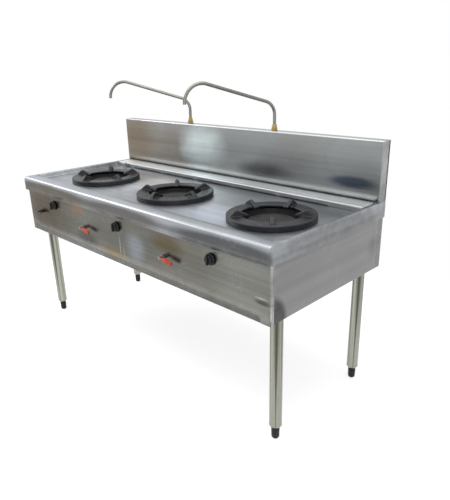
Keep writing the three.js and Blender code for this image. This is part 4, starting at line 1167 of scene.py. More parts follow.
@dataclass
class Backsplash:
    """The backsplash: a folded shell, and the screws that hold the cover on its back."""

    half: float = 900.0
    front: float = 337.75
    back: float = 395.75
    bottom: float = 850.3
    top: float = 1108.0
    fold: float = 4.0
    cover_y: float = 395.75
    screws: tuple[float, ...] = (-870.0, -580.0, -290.0, 0.0, 290.0, 580.0, 870.0)

    def build(self, shop: Workshop) -> None:
        """A lid that is open at the back."""
        profile = FoldedProfile(((self.front, self.bottom), (self.front, self.top), (self.back, self.top)),
                                (self.fold + 0.01,), 11.25)
        lid = Lid(profile, self.half, self.fold, self.bottom)
        lengths = profile.lengths()
        v = lines(lengths, 32.0)
        u = lid.lines_across(75.0)
        holes = []
        for side in SIDES:
            x, y, _ = middle(f"spout_nut_{side}")
            holes.append(RoundHole(x, lengths[-1] - (self.back - y), 10.0, 16.0, 4, 2))
        v = crossed(v, *[h.around(h.v) for h in holes])
        sheet = net(u, v, holes).mapped(lid.place)
        ends = lid.ends(v, self.top - self.bottom - self.fold - 0.1, lengths[-1])
        shop.piece("backsplash_sheet", [sheet, ends], BACKSPLASH, "cabinet", replaces=["backsplash_shell"],
                   facing=(0, -1, 0.3), thickness=2.0, crease=50.0)
        heads = [screw_head(x, self.cover_y, z)
                 for x in self.screws for z in (self.bottom + 18, self.top - 24)]
        shop.piece("rear_cover_screws", heads, BACK, "cabinet", crease=50.0)


def screw_head(x: float, y: float, z: float, radius: float = 5.0) -> Surface:
    """A low dome on a flat facing +Y: radius * cos a outwards and 0.1 * radius * sin a up."""
    angle = np.linspace(0, math.pi / 2, 5)
    profile = [(radius * math.cos(a), 0.1 * radius * math.sin(a)) for a in angle]
    return revolve([(0.0, -1.0), (radius, -1.0), *profile], 14).turned("X", -90).moved(x, y, z)


@dataclass
class FrontApron:
    """The front panel, folded round both front corners and in along the bottom."""

    half: float = 896.0
    face: float = -366.25
    bottom: float = 547.0
    top: float = 843.7
    corner: float = 3.0
    returns: float = 18.0
    bend: float = 2.0
    flange: float = 40.0
    flange_half: float = 851.4
    spindle_hole: float = 7.0
    lever_hole: float = 9.0

    def build(self, shop: Workshop) -> None:
        """A wall whose path in X and Y has two rounded corners, and the flange along its foot."""
        rear = self.face + self.returns
        path = route([(-self.half, rear, 0), (-self.half, self.face, 0), (self.half, self.face, 0),
                      (self.half, rear, 0)], (self.corner, self.corner), 15.0)[:, :2]
        lengths = np.r_[0, np.cumsum(np.linalg.norm(np.diff(path, axis=0), axis=1))]
        start = lengths[-1] / 2
        low = self.bottom + self.bend
        holes = []
        for station in STATIONS:
            x, _, z = middle(f"gas_knob_{station}")
            holes.append(RoundHole(start + x, z, self.spindle_hole, 13.0, 4, 2))
            x, z = lever_axis(station)
            holes.append(RoundHole(start + x, z, self.lever_hole, 15.0, 4, 2))
        wall = net(lines(lengths, 90.0), lines([low, self.top], 60.0), holes)
        wall = wall.mapped(lambda p: np.column_stack(
            [*(np.interp(p[:, 0], lengths, column) for column in path.T), p[:, 1]]))
        angle = np.linspace(0, math.pi / 2, 5)
        edge = [(self.face + self.bend * (1 - math.cos(a)), low - self.bend * math.sin(a)) for a in angle]
        edge.append((self.face + self.flange, self.bottom))
        across = np.linspace(-self.flange_half, self.flange_half, 20)
        foot = grid(np.array([[(x, y, z) for x in across] for y, z in edge]))
        tabs = [grid(np.array([[(x, self.face, z) for x in sorted((side * self.flange_half,
                                                                   side * (self.half - self.corner)))]
                               for z in (low, self.bottom)])) for side in (-1, 1)]
        shop.piece("apron_sheet", [wall, foot, *tabs], APRON, "cabinet", replaces=["front_apron"],
                   facing=(0, -1, 0), thickness=2.0, crease=50.0)


@dataclass
class SidePanel:
    """One end panel, folded in along the bottom and cut out round the two legs."""

    side: int
    outer: float = 893.7
    front: float = -363.95
    back: float = 393.45
    bottom: float = 547.0
    top: float = 847.7
    bend: float = 2.5
    flange_edge: float = 851.7
    leg_x: float = 855.0
    leg_y: tuple[float, float] = (-281.25, 290.75)
    cutout: float = 26.4

    def build(self, shop: Workshop) -> None:
        """Rows over the flange, the bend and the wall.

        The flange's inner edge is at leg_x + sqrt(cutout^2 - (y - leg)^2) beside a leg, and straight
        elsewhere; a flange point is edge + t * (bend - edge).
        """
        near = np.concatenate([leg + self.cutout * np.sin(np.linspace(-math.pi / 2, math.pi / 2, 17))
                               for leg in self.leg_y])
        y = np.unique(np.r_[lines([self.front, self.back], 60.0), near])
        edge = np.full_like(y, self.flange_edge)
        for leg in self.leg_y:
            inside = np.clip(self.cutout ** 2 - (y - leg) ** 2, 0, None)
            edge = np.where(inside > 1e-6, self.leg_x + np.sqrt(inside), edge)
        start = self.outer - self.bend
        rows = [(edge + t * (start - edge), np.full_like(y, self.bottom)) for t in (0.0, 0.5, 1.0)]
        rows += [(np.full_like(y, start + self.bend * math.sin(a)),
                  np.full_like(y, self.bottom + self.bend * (1 - math.cos(a))))
                 for a in np.linspace(0, math.pi / 2, 5)[1:]]
        rows += [(np.full_like(y, self.outer), np.full_like(y, z))
                 for z in np.linspace(self.bottom + self.bend, self.top, 6)[1:]]
        sheet = grid(np.stack([np.column_stack([self.side * x, y, z]) for x, z in rows]))
        name = SIDES[self.side > 0]
        shop.piece(f"side_sheet_{name}", [sheet], SIDE, "cabinet", replaces=[f"side_panel_{name}"],
                   facing=(self.side, 0, 0), thickness=2.0, crease=50.0)


# ---- Legs -------------------------------------------------------------------------------------------

@dataclass
class Leg:
    """A polished tube leg with its coned plug, and the black screw-in foot under it."""

    corner: str
    radius: float = 25.4
    wall: float = 1.5
    bottom: float = 52.0
    stem: float = 8.3
    # Painted reflection streaks: angle, width and strength of each dark band round the tube.
    painted_reflection_streaks: tuple[tuple[float, float, float], ...] = (
        (-52.0, 12.0, 0.9), (2.0, 5.0, 0.6), (-112.0, 6.0, 0.75), (135.0, 12.0, 0.7), (60.0, 7.0, 0.5),
        (200.0, 7.0, 0.5))

    def build(self, shop: Workshop) -> None:
        """Two turned profiles round the leg's axis."""
        x, y, _ = middle(f"leg_{self.corner}")
        top = span(f"leg_{self.corner}")[1][2]
        b, r = self.bottom, self.radius
        outline = [(self.stem, b), (16.8, b), (18.0, b + 0.8), (25.6, b + 10.6), (26.4, b + 12.4),
                   (26.4, b + 15.6), (25.8, b + 17.2), (r, b + 18.6), (r, top - 0.5), (r - 0.5, top),
                   (r - self.wall, top), (r - self.wall, b + 18.0), (self.stem, b + 18.0)]
        steel = TubeSteel(f"leg_steel_{self.corner}", "leg_steel", colour=(160, 160, 150), axis=(x, y),
                          reflection_streak_colour=(70, 71, 63), painted_reflection_streaks=self.painted_reflection_streaks, roughness=0.19, grime=0.25)
        shop.piece(f"leg_tube_{self.corner}", [revolve(outline, 48, closed=True).moved(x, y, 0)], steel,
                   "cabinet", replaces=[f"leg_{self.corner}"], crease=40.0)
        foot = [(0, 0), (10.6, 0), (11.8, 0.6), (13.0, 2.0), (15.2, 5.0), (16.2, 10.0), (17.0, 40.5),
                (17.0, 44.4), (16.2, 45.2), (16.2, 46.2), (17.0, 47.0), (17.0, 50.7), (16.2, 51.6), (8, 51.7),
                (8, 95.2), (7.2, 96), (0, 96)]
        shop.piece(f"foot_bullet_{self.corner}", [revolve(foot, 40).moved(x, y, 0)], FOOT,
                   f"levelling_{self.corner}", replaces=[f"foot_{self.corner}"], crease=40.0)


# ---- Burners ----------------------------------------------------------------------------------------

@dataclass
class WokRings:
    """The three cast-iron wok rings, each with five lugs."""

    outer: float = 185.0
    inner: float = 125.0
    bottom: float = 826.3
    top: float = 850.0
    plate: float = 10.0
    skirt: float = 8.0
    edge: float = 2.5
    lug_side: tuple[tuple[float, float], ...] = (
        (176, 846), (176.5, 851), (172, 857), (152, 873), (147, 875), (142, 874), (120, 863), (99, 853),
        (99.5, 846), (104, 842.5), (130, 840))
    lug_base: float = 11.5
    lug_crest: float = 7.6
    crest_height: float = 875.0
    turns: tuple[float, float, float] = (136.0, 136.0, -49.5)

    def lug(self, turn: float) -> Surface:
        """One lug: its side outline at y = +-w(z), with w going evenly from base to crest above the face."""
        side = np.array(self.lug_side, float)
        rise = np.clip((side[:, 1] - self.top) / (self.crest_height - self.top), 0, 1)
        width = self.lug_base + (self.lug_crest - self.lug_base) * rise
        rings = np.stack([np.column_stack([side[:, 0], way * width, side[:, 1]]) for way in (-1, 1)])
        return joined([grid(rings, wrap_columns=True), fan(rings[0]), fan(rings[1])]).turned("Z", turn)

    def build(self, shop: Workshop) -> None:
        """One fused skin, carried to the three places and turned."""
        o, i, e = self.outer, self.inner, self.edge
        under = self.top - self.plate
        band = o - self.skirt
        profile = [(o - 0.8, self.bottom), (o, self.bottom + 1), (o, self.top - e), (o - 0.7, self.top - 0.9),
                   (o - e, self.top), (i + e, self.top), (i + 0.8, self.top - 0.8), (i, self.top - e),
                   (i, under), (band, under), (band, self.bottom)]
        shells = [revolve(profile, 144, closed=True)] + [self.lug(72.0 * k) for k in range(5)]
        skin = shop.cast("wok_ring_skin", shells, 2.0, 4)
        for station, turn in zip(STATIONS, self.turns):
            x, y, _ = middle(f"fire_bowl_{station}")
            name = f"wok_ring_cast_{station}"
            shop.dressed(name, carried(skin, name, turn, (x, y, 0)), CAST_IRON, f"ring_{station}",
                         [f"wok_ring_{station}"], crease=70.0)


@dataclass
class Burner:
    """A fire bowl, the burner head in it, and the mixing tube that feeds it."""

    station: str
    valve_x: float
    bowl_radius: float = 148.3
    flange: float = 172.0
    rim: float = 826.3
    bowl_bottom: float = 745.0
    opening: float = 62.0
    wall: float = 3.0
    head_radius: float = 98.0
    head_top: float = 820.0
    head_bottom: float = 740.0
    neck: float = 24.0
    ports: int = 10
    port_width: float = 8.0
    port_depth: float = 7.5
    mixer: float = 19.0
    mixer_height: float = 690.0
    pipe_y: float = -291.25

    def bowl_wall(self, radius: float, low: float, high: float) -> list[tuple[float, float]]:
        """One wall's profile: r = opening + (radius - opening) sin t, z = low + (high - low)(1 - cos t)."""
        t = np.linspace(0, math.pi / 2, 14)
        reach = self.opening + (radius - self.opening) * np.sin(t)
        return list(zip(reach, low + (high - low) * (1 - np.cos(t))))

    def bowl(self) -> Surface:
        """The outer wall, the flat rim and the inner wall, turned."""
        outside = self.bowl_wall(self.bowl_radius, self.bowl_bottom, self.rim)
        inside = self.bowl_wall(self.bowl_radius - self.wall, self.bowl_bottom + self.wall,
                                self.rim + self.wall)
        rim = [(self.flange - 0.8, self.rim), (self.flange, self.rim + 0.8),
               (self.flange, self.rim + self.wall - 0.8), (self.flange - 0.8, self.rim + self.wall)]
        return revolve([*outside, *rim, *inside[::-1]], 96, closed=True)

    def head(self) -> Surface:
        """A turned drum; in the ports' band the radius is less by depth * S(angle) * S(height)."""
        top, r = self.head_top, self.head_radius
        band = np.linspace(top - 18.5, top - 6.5, 9)
        profile = [(self.neck - 5, self.head_bottom), (self.neck - 0.8, self.head_bottom),
                   (self.neck, self.head_bottom + 0.8), (self.neck, self.head_bottom + 12),
                   (self.neck + 4, self.head_bottom + 13.5), (r - 3, top - 31), (r - 0.6, top - 29),
                   (r, top - 26),
                   *[(r, z) for z in band], (r, top - 3.4), (r - 1, top - 1), (r - 3.4, top),
                   (r - 12, top), (r - 12.6, top - 0.8), (r - 14.4, top - 0.8), (r - 15, top), (40, top),
                   (39, top), (22, top), (21, top - 1.0), (19.6, top - 1.0), (18.6, top), (0, top)]
        surface = revolve(profile, 320)
        points = surface.points
        angle = np.degrees(np.arctan2(points[:, 1], points[:, 0]))
        away = np.abs((angle + 180 / self.ports) % (360 / self.ports) - 180 / self.ports)
        across = np.radians(away) * r
        inside = smooth((self.port_width / 2 + 0.6 - across) / 1.2)
        level = np.abs(points[:, 2] - (top - 12.5))
        tall = smooth((4.5 + 0.9 - level) / 1.8)
        rim = (np.hypot(points[:, 0], points[:, 1]) > r - 0.5)
        points[:, :2] *= (1 - (self.port_depth / r) * inside * tall * rim)[:, None]
        return surface

    def build(self, shop: Workshop) -> None:
        """The three turned or swept pieces, in place."""
        x, y, _ = middle(f"fire_bowl_{self.station}")
        shop.piece(f"fire_bowl_cast_{self.station}", [self.bowl().moved(x, y, 0)], BOWL_IRON, "cabinet",
                   replaces=[f"fire_bowl_{self.station}"])
        shop.piece(f"burner_head_cast_{self.station}", [self.head().moved(x, y, 0)], HEAD_IRON,
                   f"burner_{self.station}", replaces=[f"burner_head_{self.station}"], crease=30.0)
        top = self.head_bottom - 0.3
        path = route([(self.valve_x, self.pipe_y + 5, self.mixer_height), (x, y, self.mixer_height),
                      (x, y, top)], [36.0], 7.5)
        reach = np.linalg.norm(path - path[0], axis=1)
        radii = self.mixer - 2.5 * smooth((reach - 20) / 90) * smooth((330 - reach) / 150)
        outside, inside = tube(path, radii, 28), tube(path, radii - 3, 28)
        rims = [grid(np.stack([outside.points[k], inside.points[k]]), wrap_columns=True)
                for k in (slice(0, 28), slice(-28, None))]
        shop.piece(f"mixing_tube_cast_{self.station}", [outside, inside, *rims], MIXER_IRON, "cabinet",
                   replaces=[f"mixing_tube_{self.station}"])


# ---- Taps and levers --------------------------------------------------------------------------------

APRON_FACE = -366.25


def squared(value: np.ndarray, power: float) -> np.ndarray:
    """A sine or cosine drawn out towards a square: its sign times its size to a power."""
    return np.sign(value) * np.abs(value) ** power


@dataclass
class GasKnobs:
    """The three black tap knobs: a skirt, a barrel and a grip bar across it."""

    radius: float = 25.0
    depth: float = 26.0
    skirt: float = 7.0
    barrel: float = 21.2
    grip: float = 5.5
    grip_reach: float = 21.8
    grip_taper: float = 2.6
    squareness: float = 0.45
    bore: float = 4.3
    base_y: float = -367.25

    def build(self, shop: Workshop) -> None:
        """One fused skin, turned to face -Y and carried to the three taps."""
        d, r, b = self.depth, self.radius, self.barrel
        disc = [(self.bore, 0), (r - 1.4, 0), (r - 0.4, 0.6), (r, 1.6), (r, 4.6), (r - 0.8, 6.2),
                (r - 2.4, self.skirt), (b, 7.6), (b - 0.4, 9.0), (b - 1.6, d - 10.6), (b - 2.4, d - 9),
                (b - 4.0, d - 8.1), (self.bore, d - 8), (0, d - 8), (0, 16.4), (self.bore, 16.3)]
        t = np.linspace(0, 2 * math.pi, 40, endpoint=False)
        rings = []
        for z, slimmer, crown in ((5.0, 0.0, 0.0), (d - 3, 0.3, 0.0), (d - 1, 1.2, 0.8), (d, 2.8, 2.2)):
            wide = self.grip - slimmer
            reach = self.grip_reach - self.grip_taper * (z / d) - crown
            rings.append(np.column_stack([wide * squared(np.cos(t), self.squareness),
                                          reach * squared(np.sin(t), self.squareness), np.full_like(t, z)]))
        stack = np.stack(rings)
        bar_shell = joined([grid(stack, wrap_columns=True), fan(stack[0]), fan(stack[-1])])
        skin = shop.cast("knob_skin", [revolve(disc, 72, closed=True), bar_shell], 0.75, 3)
        skin.transform(Matrix.Rotation(math.radians(90), 4, "X"))
        for station in STATIONS:
            x, _, z = middle(f"gas_knob_{station}")
            name = f"tap_knob_{station}"
            shop.dressed(name, carried(skin, name, 0.0, (x, self.base_y, z)), KNOB, f"knob_{station}",
                         [f"gas_knob_{station}"], crease=70.0)


@dataclass
class ValveHandles:
    """The three small valve handles: a wing on the left, levers with orange sleeves on the others."""

    stand_off: float = 24.0
    droop: float = 8.0
    stem: float = 5.0
    stem_length: float = 75.0
    strip: float = 3.0
    width: float = 12.0
    length: float = 74.0
    sleeve_start: float = 16.0
    sleeve_end: float = 78.0
    sleeve_half: float = 10.0
    sleeve_thick: float = 5.5
    wing: float = 33.0

    def placed(self, surface: Surface, station: str) -> Surface:
        """Carries a handle made along +X at the origin to its valve, with its droop."""
        x, z = lever_axis(station)
        return surface.turned("Y", self.droop).moved(x, APRON_FACE - self.stand_off, z)

    def hub(self) -> list[Surface]:
        """The stem, the round boss, the hexagon nut and the stem's end in it."""
        depths = (-6.2, 0.0, 40.0, self.stem_length)
        stem = bar(np.array([(0.0, y, 0.0) for y in depths]), self.stem, 24)
        boss = revolve([(0, -1.9), (9.2, -1.9), (10, -1.2), (10, 1.2), (9.2, 1.9), (0, 1.9)], 36)
        nut = hexagon(14.6, [(-5.4, 1.2), (-4.6, 0), (0.0, 0), (0.4, 0.4)])
        bush = revolve([(5.2, 10), (9.4, 10), (10, 10.8), (10, 21.6), (5.2, 21.6)], 32, closed=True)
        return [stem, boss.turned("X", 90), nut.turned("X", -90), bush.turned("X", -90)]

    def sleeve(self) -> Surface:
        """A dipped sleeve along X: each section is a superellipse |y/t|^n + |z/w|^n = 1.

        The half width w rises over the first 7 mm and closes as a circle over the last 10 mm, and the half
        thickness t does the same over 6 mm.
        """
        u = np.unique(np.r_[np.linspace(self.sleeve_start, self.sleeve_start + 8, 9),
                            np.linspace(self.sleeve_start + 8, self.sleeve_end - 10, 12),
                            self.sleeve_end - 10 * (1 - np.sin(np.linspace(0, math.pi / 2, 14)))])
        start, end = u - self.sleeve_start, self.sleeve_end - u
        tip = np.sqrt(np.clip(1 - (1 - np.clip(end / 10, 0, 1)) ** 2, 0, 1))
        thin = np.sqrt(np.clip(1 - (1 - np.clip(end / 6, 0, 1)) ** 2, 0, 1))
        waist = 0.94 + 0.06 * np.cos((start - 45) / 18)
        w = self.sleeve_half * (0.66 + 0.34 * smooth(start / 7)) * tip * waist
        t = self.sleeve_thick * (0.62 + 0.38 * smooth(start / 7)) * thin
        angle = np.linspace(0, 2 * math.pi, 40, endpoint=False)
        y = t[:, None] * squared(np.sin(angle), 0.72)
        z = w[:, None] * squared(np.cos(angle), 0.72)
        points = np.stack(np.broadcast_arrays(u[:, None], y, z), axis=-1)
        mouth = points[0] * (1, 0.55, 0.7) + (0.6, 0, 0)
        return joined([grid(points, wrap_columns=True),
                       grid(np.stack([mouth, points[0]]), wrap_columns=True), fan(mouth)])

    def build(self, shop: Workshop) -> None:
        """The wing on the left valve, and a lever with its sleeve on the middle and right ones."""
        arc = np.linspace(-math.pi / 2, math.pi / 2, 13)
        right = np.column_stack([self.wing - 7 + 7 * np.cos(arc), 7 * np.sin(arc)])
        blades = np.vstack([[(0, -4.6)], [(12, -5.0)], right, [(12, 5.0)], [(0, 4.6)], [(-12, 5.0)], -right,
                            [(-12, -5.0)]])
        wing = prism(blades, self.strip + 0.6, 0.8)
        parts = [self.placed(s, "left") for s in [wing, *self.hub()]]
        shop.piece("valve_wing_left", parts, WING, "handle_left", replaces=["wing_handle_left"], crease=30.0)
        corner = 2.5
        a = np.linspace(math.pi / 2, 3 * math.pi / 2, 13)
        half = self.width / 2
        nose = np.column_stack([-3 + 8 * np.cos(a), half * np.sin(a)])
        plate = np.vstack([nose, [(self.length - corner, -half), (self.length, corner - half),
                                  (self.length, half - corner), (self.length - corner, half)]])
        for station in STATIONS[1:]:
            strip = prism(plate, self.strip, 0.6)
            parts = [self.placed(s, station) for s in [strip, *self.hub()]]
            shop.piece(f"valve_lever_{station}", parts, LEVER, f"handle_{station}",
                       replaces=[f"pilot_lever_{station}"], crease=30.0)
            shop.piece(f"lever_sleeve_{station}", [self.placed(self.sleeve(), station)], VINYL,
                       f"handle_{station}", replaces=[f"lever_grip_{station}"], crease=40.0)


def hexagon(across: float, stations: Sequence[tuple[float, float]], sides: int = 96) -> Surface:
    """A hexagon bar with turned ends.

    At an angle a the flat's radius is (across / 2) / cos(a mod 60 - 30); a station (height, cut) keeps it
    within the corner radius less the cut. The two ends are closed to the axis.

    Args:
        across: the width across flats.
        stations: heights with how far the turning cuts into the corners there.
        sides: points round the bar.

    Returns:
        A closed surface about Z.
    """
    angle = np.linspace(0, 2 * math.pi, sides, endpoint=False)
    apothem = across / 2
    flat = apothem / np.cos(np.radians(np.degrees(angle) % 60 - 30))
    corner = apothem / math.cos(math.pi / 6)
    rings = [np.column_stack([np.zeros((sides, 2)), np.full(sides, stations[0][0])])]
    for height, cut in stations:
        r = np.minimum(flat, corner - cut)
        rings.append(np.column_stack([r * np.cos(angle), r * np.sin(angle), np.full(sides, height)]))
    rings.append(np.column_stack([np.zeros((sides, 2)), np.full(sides, stations[-1][0])]))
    return grid(np.stack(rings), wrap_columns=True)


# ---- Gas and water ----------------------------------------------------------------------------------

@dataclass
class GasTrain:
    """The manifold behind the apron and the thin pilot pipes; the valves stay as the CAD has them."""

    manifold_x: float = 835.0
    pipe_y: float = -291.25
    back_y: float = 393.45
    height: float = 729.0
    radius: float = 13.4
    overrun: float = 30.0
    stub_bottom: float = 703.0
    low: float = 615.0
    pilot: float = 4.0

    def build(self, shop: Workshop) -> None:
        """Swept pipes along the same routes as the CAD's."""
        valves = [lever_axis(station) for station in STATIONS]
        main = route([(valves[0][0] - self.overrun, self.pipe_y, self.height),
                      (self.manifold_x, self.pipe_y, self.height),
                      (self.manifold_x, self.back_y, self.height)], [45.0])
        parts = [bar(main, self.radius, 28, 1.0)]
        parts += [bar(np.array([(x, self.pipe_y, self.height), (x, self.pipe_y, 720.0),
                                (x, self.pipe_y, self.stub_bottom)]), 7.0, 20) for x, _ in valves]
        shop.piece("manifold_pipe", parts, PIPE, "cabinet", replaces=["gas_manifold"])
        for station, (valve, level) in zip(STATIONS, valves):
            x, y, _ = middle(f"fire_bowl_{station}")
            corners = [(valve, self.pipe_y, 2 * level - self.stub_bottom), (valve, self.pipe_y, self.low),
                       (x - 43, y + 4, self.low), (x - 43, y + 4, 755), (x - 115, y + 4, 784),
                       (x - 115, y + 4, 810)]
            path = route(corners, [14.0, 24.0, 16.0, 14.0], 10.0)
            shop.piece(f"pilot_tube_{station}", [bar(path, self.pilot, 14, 0.5)], PIPE, "cabinet",
                       replaces=[f"pilot_pipe_{station}"])


@dataclass
class WaterSpout:
    """A swivelling spout and the brass nut that holds it on the backsplash."""

    side: str
    azimuth: float
    radius: float = 8.0
    corner: float = 1233.0
    reach: float = 455.0
    rise: float = 16.5
    bends: tuple[float, float] = (66.0, 84.0)
    drop: float = 115.5
    bottom: float = 1111.6
    nut_bottom: float = 1108.3
    nut_across: float = 27.0
    mouth: float = 6.5

    def build(self, shop: Workshop) -> None:
        """The tube along its route, its open mouth, and the turned nut."""
        x, y, _ = middle(f"spout_nut_{self.side}")
        dx, dy = math.cos(math.radians(self.azimuth)), math.sin(math.radians(self.azimuth))
        hook = self.corner + self.reach * math.tan(math.radians(self.rise))
        tip = (x + self.reach * dx, y + self.reach * dy)
        path = route([(x, y, self.bottom), (x, y, self.corner), (*tip, hook), (*tip, hook - self.drop)],
                     self.bends, 4.0)
        outside = tube(path, self.radius, 28)
        end = hook - self.drop
        lip = [(self.radius, end), (self.radius - 0.4, end), (self.mouth + 0.2, end), (self.mouth, end + 0.4),
               (self.mouth, end + 20), (0, end + 20)]
        inside = revolve(lip, 28).moved(*tip, 0)
        base = revolve([(0, self.bottom), (self.radius, self.bottom)], 28).moved(x, y, 0)
        shop.piece(f"spout_tube_{self.side}", [outside, inside, base], SPOUT, f"swivel_{self.side}",
                   replaces=[f"spout_{self.side}"], crease=45.0)
        b = self.nut_bottom
        hexagonal = hexagon(self.nut_across, [(b, 1.6), (b + 1.2, 0.2), (b + 2, 0), (b + 13, 0),
                                              (b + 14, 0.3), (b + 15, 1.8)]).moved(x, y, 0)
        collar = revolve([(8.4, b + 3), (8.4, b + 30), (10.2, b + 30), (11, b + 29.2), (11.2, b + 26),
                          (11.6, b + 25.4), (12.6, b + 17), (13.2, b + 15.4), (13.2, b + 14), (9, b + 10)],
                         40, closed=True).moved(x, y, 0)
        tail = bar(np.array([(x, y, b - 10), (x, y, b - 5), (x, y, b + 2)], float), 9.0, 28)
        shop.piece(f"swivel_nut_{self.side}", [hexagonal, collar, tail], BRASS, "cabinet",
                   replaces=[f"spout_nut_{self.side}"], crease=30.0)


@dataclass
class RinseNozzle:
    """The small nozzle that stands on the tray in front of the ledge."""

    x: float = -782.0
    y: float = 228.75
    bottom: float = 826.3
    height: float = 28.0

    def build(self, shop: Workshop) -> None:
        """A hexagon base, a post with a domed top and a short outlet."""
        b = self.bottom
        base = hexagon(17.0, [(b, 0.2), (b + 3.2, 0.2), (b + 4, 1.0)]).moved(self.x, self.y, 0)
        post = revolve([(0, b + 1), (5, b + 1), (5, b + 24), (4.6, b + 26), (3.2, b + 27.5), (0, b + 28)],
                       24).moved(self.x, self.y, 0)
        start = np.array((self.x, self.y, b + 0.6 * self.height))
        way = unit(np.array((-1.0, -0.2, 0.0)))
        outlet = bar(np.stack([start, start + way * 15, start + way * 30]), 4.0, 20)
        shop.piece("rinse_nozzle_turned", [base, post, outlet], SPOUT, "cabinet", replaces=["rinse_nozzle"],
                   crease=30.0)


# ---- Stage ------------------------------------------------------------------------------------------

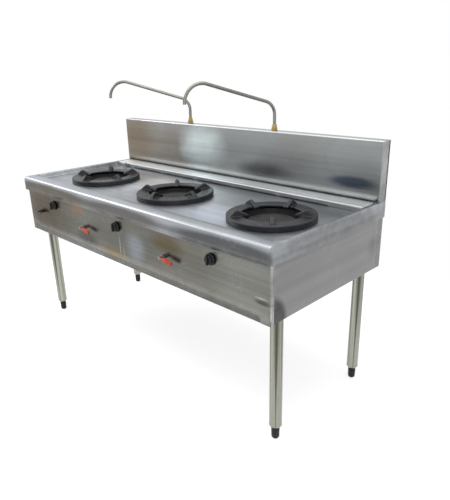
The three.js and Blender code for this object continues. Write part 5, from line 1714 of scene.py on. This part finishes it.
@dataclass
class Studio:
    """The camera at the photograph's angle, a pale floor, white surroundings and soft lamps."""

    place: Triple = (1.8845, -1.56615, 1.4061)
    yaw: float = -45.11
    pitch: float = 20.11
    roll: float = -1.44
    lens: float = 36.06

    def camera(self) -> None:
        """Forward is (sin yaw cos pitch, cos yaw cos pitch, -sin pitch); the picture is then rolled."""
        yaw, pitch, roll = (math.radians(a) for a in (self.yaw, self.pitch, self.roll))
        forward = Vector((math.sin(yaw) * math.cos(pitch), math.cos(yaw) * math.cos(pitch), -math.sin(pitch)))
        right = Vector((math.cos(yaw), -math.sin(yaw), 0.0))
        up = right.cross(forward)
        right, up = (math.cos(roll) * right + math.sin(roll) * up,
                     math.cos(roll) * up - math.sin(roll) * right)
        data = bpy.data.cameras.new("camera")
        data.lens, data.sensor_width = self.lens, 36.0
        camera = bpy.data.objects.new("camera", data)
        camera.matrix_world = (Matrix.Translation(self.place)
                               @ Matrix((right, up, -forward)).transposed().to_4x4())
        bpy.context.scene.collection.objects.link(camera)
        bpy.context.scene.camera = camera

    def world(self) -> None:
        """White where a camera, glossy or transmission ray sees it; a plain grey light otherwise."""
        world = bpy.data.worlds.new("surroundings")
        world.use_nodes = True
        s = Sketch(world.node_tree)
        seen = seen_rays(s)
        background = world.node_tree.nodes["Background"]
        background.inputs["Color"].default_value = (1, 1, 1, 1)
        s.tree.links.new(s.blend(seen, 0.0, 1.0, 0.42, 1.0), background.inputs["Strength"])
        bpy.context.scene.world = world

    def floor(self) -> None:
        """A pale floor that keeps the shadow near the object and is white further out."""
        size = 30.0
        mesh = bpy.data.meshes.new("floor")
        mesh.from_pydata([(-size, -size, 0), (size, -size, 0), (size, size, 0), (-size, size, 0)], [],
                         [(0, 1, 2, 3)])
        floor = bpy.data.objects.new("floor", mesh)
        bpy.context.scene.collection.objects.link(floor)
        material = bpy.data.materials.new("pale_floor")
        material.use_nodes = True
        nodes = material.node_tree.nodes
        nodes.remove(nodes["Principled BSDF"])
        s = Sketch(material.node_tree)
        where = s.add("ShaderNodeTexCoord").outputs["Object"]
        distance = s.vector("LENGTH", where).outputs["Value"]
        near = s.add("ShaderNodeBsdfDiffuse", {"Color": (0.86, 0.86, 0.86, 1)}).outputs[0]
        glow = s.add("ShaderNodeEmission", {"Color": (1, 1, 1, 1), "Strength": 0.68}).outputs[0]
        lit = s.add("ShaderNodeAddShader", {0: near, 1: glow}).outputs[0]
        white = s.add("ShaderNodeEmission", {"Color": (1, 1, 1, 1), "Strength": 1.0}).outputs[0]
        seen = seen_rays(s)
        close = s.add("ShaderNodeMixShader", {0: seen, 1: near, 2: lit}).outputs[0]
        far = s.math("MULTIPLY", s.blend(distance, 0.9, 2.1), seen)
        out = s.add("ShaderNodeMixShader", {0: far, 1: close, 2: white}).outputs[0]
        s.tree.links.new(out, nodes["Material Output"].inputs["Surface"])
        mesh.materials.append(material)

    def lamp(self, name: str, place: Triple, aim: Triple, size: tuple[float, float], power: float) -> None:
        """A rectangular soft lamp at a place, turned towards a point."""
        data = bpy.data.lights.new(name, "AREA")
        data.shape, data.size, data.size_y, data.energy = "RECTANGLE", *size, power
        lamp = bpy.data.objects.new(name, data)
        lamp.location = place
        lamp.rotation_euler = (Vector(aim) - Vector(place)).to_track_quat("-Z", "Y").to_euler()
        bpy.context.scene.collection.objects.link(lamp)

    def build(self) -> None:
        """Camera, world, floor and three lamps."""
        self.camera()
        self.world()
        self.floor()
        self.lamp("overhead", (0.2, -0.3, 3.3), (0, 0, 0.8), (3.0, 2.2), 36.0)
        self.lamp("key", (-3.2, -1.4, 2.9), (0, 0, 0.8), (1.6, 1.2), 34.0)
        self.lamp("fill", (2.6, -3.2, 1.8), (0, 0, 0.7), (1.6, 1.6), 16.0)


def seen_rays(s: Sketch) -> Socket:
    """One where the ray comes from the camera, a glossy or a transmission bounce."""
    path = s.add("ShaderNodeLightPath")
    seen = s.math("MAXIMUM", path.outputs["Is Camera Ray"], path.outputs["Is Glossy Ray"])
    return s.math("MAXIMUM", seen, path.outputs["Is Transmission Ray"])


# ---- The range --------------------------------------------------------------------------------------

CAD_FINISHES = {
    "gutter_channel": GUTTER, "backsplash_rear_cover": BACK, "back_panel": BACK, "side_frame_left": FRAME,
    "side_frame_right": FRAME, "front_rail": FRAME, "rear_rail": FRAME, "burner_rail": FRAME,
    "water_pipe": PIPE,
    **{f"gas_valve_{s}": BRASS for s in STATIONS}, **{f"pilot_valve_{s}": BRASS for s in STATIONS},
}


def main() -> None:
    """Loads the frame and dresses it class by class."""
    logging.basicConfig(level=logging.INFO, format="%(message)s")
    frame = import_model()
    Studio().build()
    shop = Workshop()
    Worktop().build(shop)
    GutterCover().build(shop)
    Backsplash().build(shop)
    FrontApron().build(shop)
    for side in (-1, 1):
        SidePanel(side).build(shop)
    for corner in CORNERS:
        Leg(corner).build(shop)
    WokRings().build(shop)
    for station in STATIONS:
        Burner(station, float(middle(f"gas_knob_{station}")[0])).build(shop)
    GasKnobs().build(shop)
    ValveHandles().build(shop)
    GasTrain().build(shop)
    for side, azimuth in zip(SIDES, (217.8, 248.7)):
        WaterSpout(side, azimuth).build(shop)
    RinseNozzle().build(shop)
    for name, finish in CAD_FINISHES.items():
        shop.node(name, finish, frame["nodes"])
    bpy.context.scene.view_settings.view_transform = "Standard"
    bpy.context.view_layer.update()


if __name__ == "__main__":
    main()
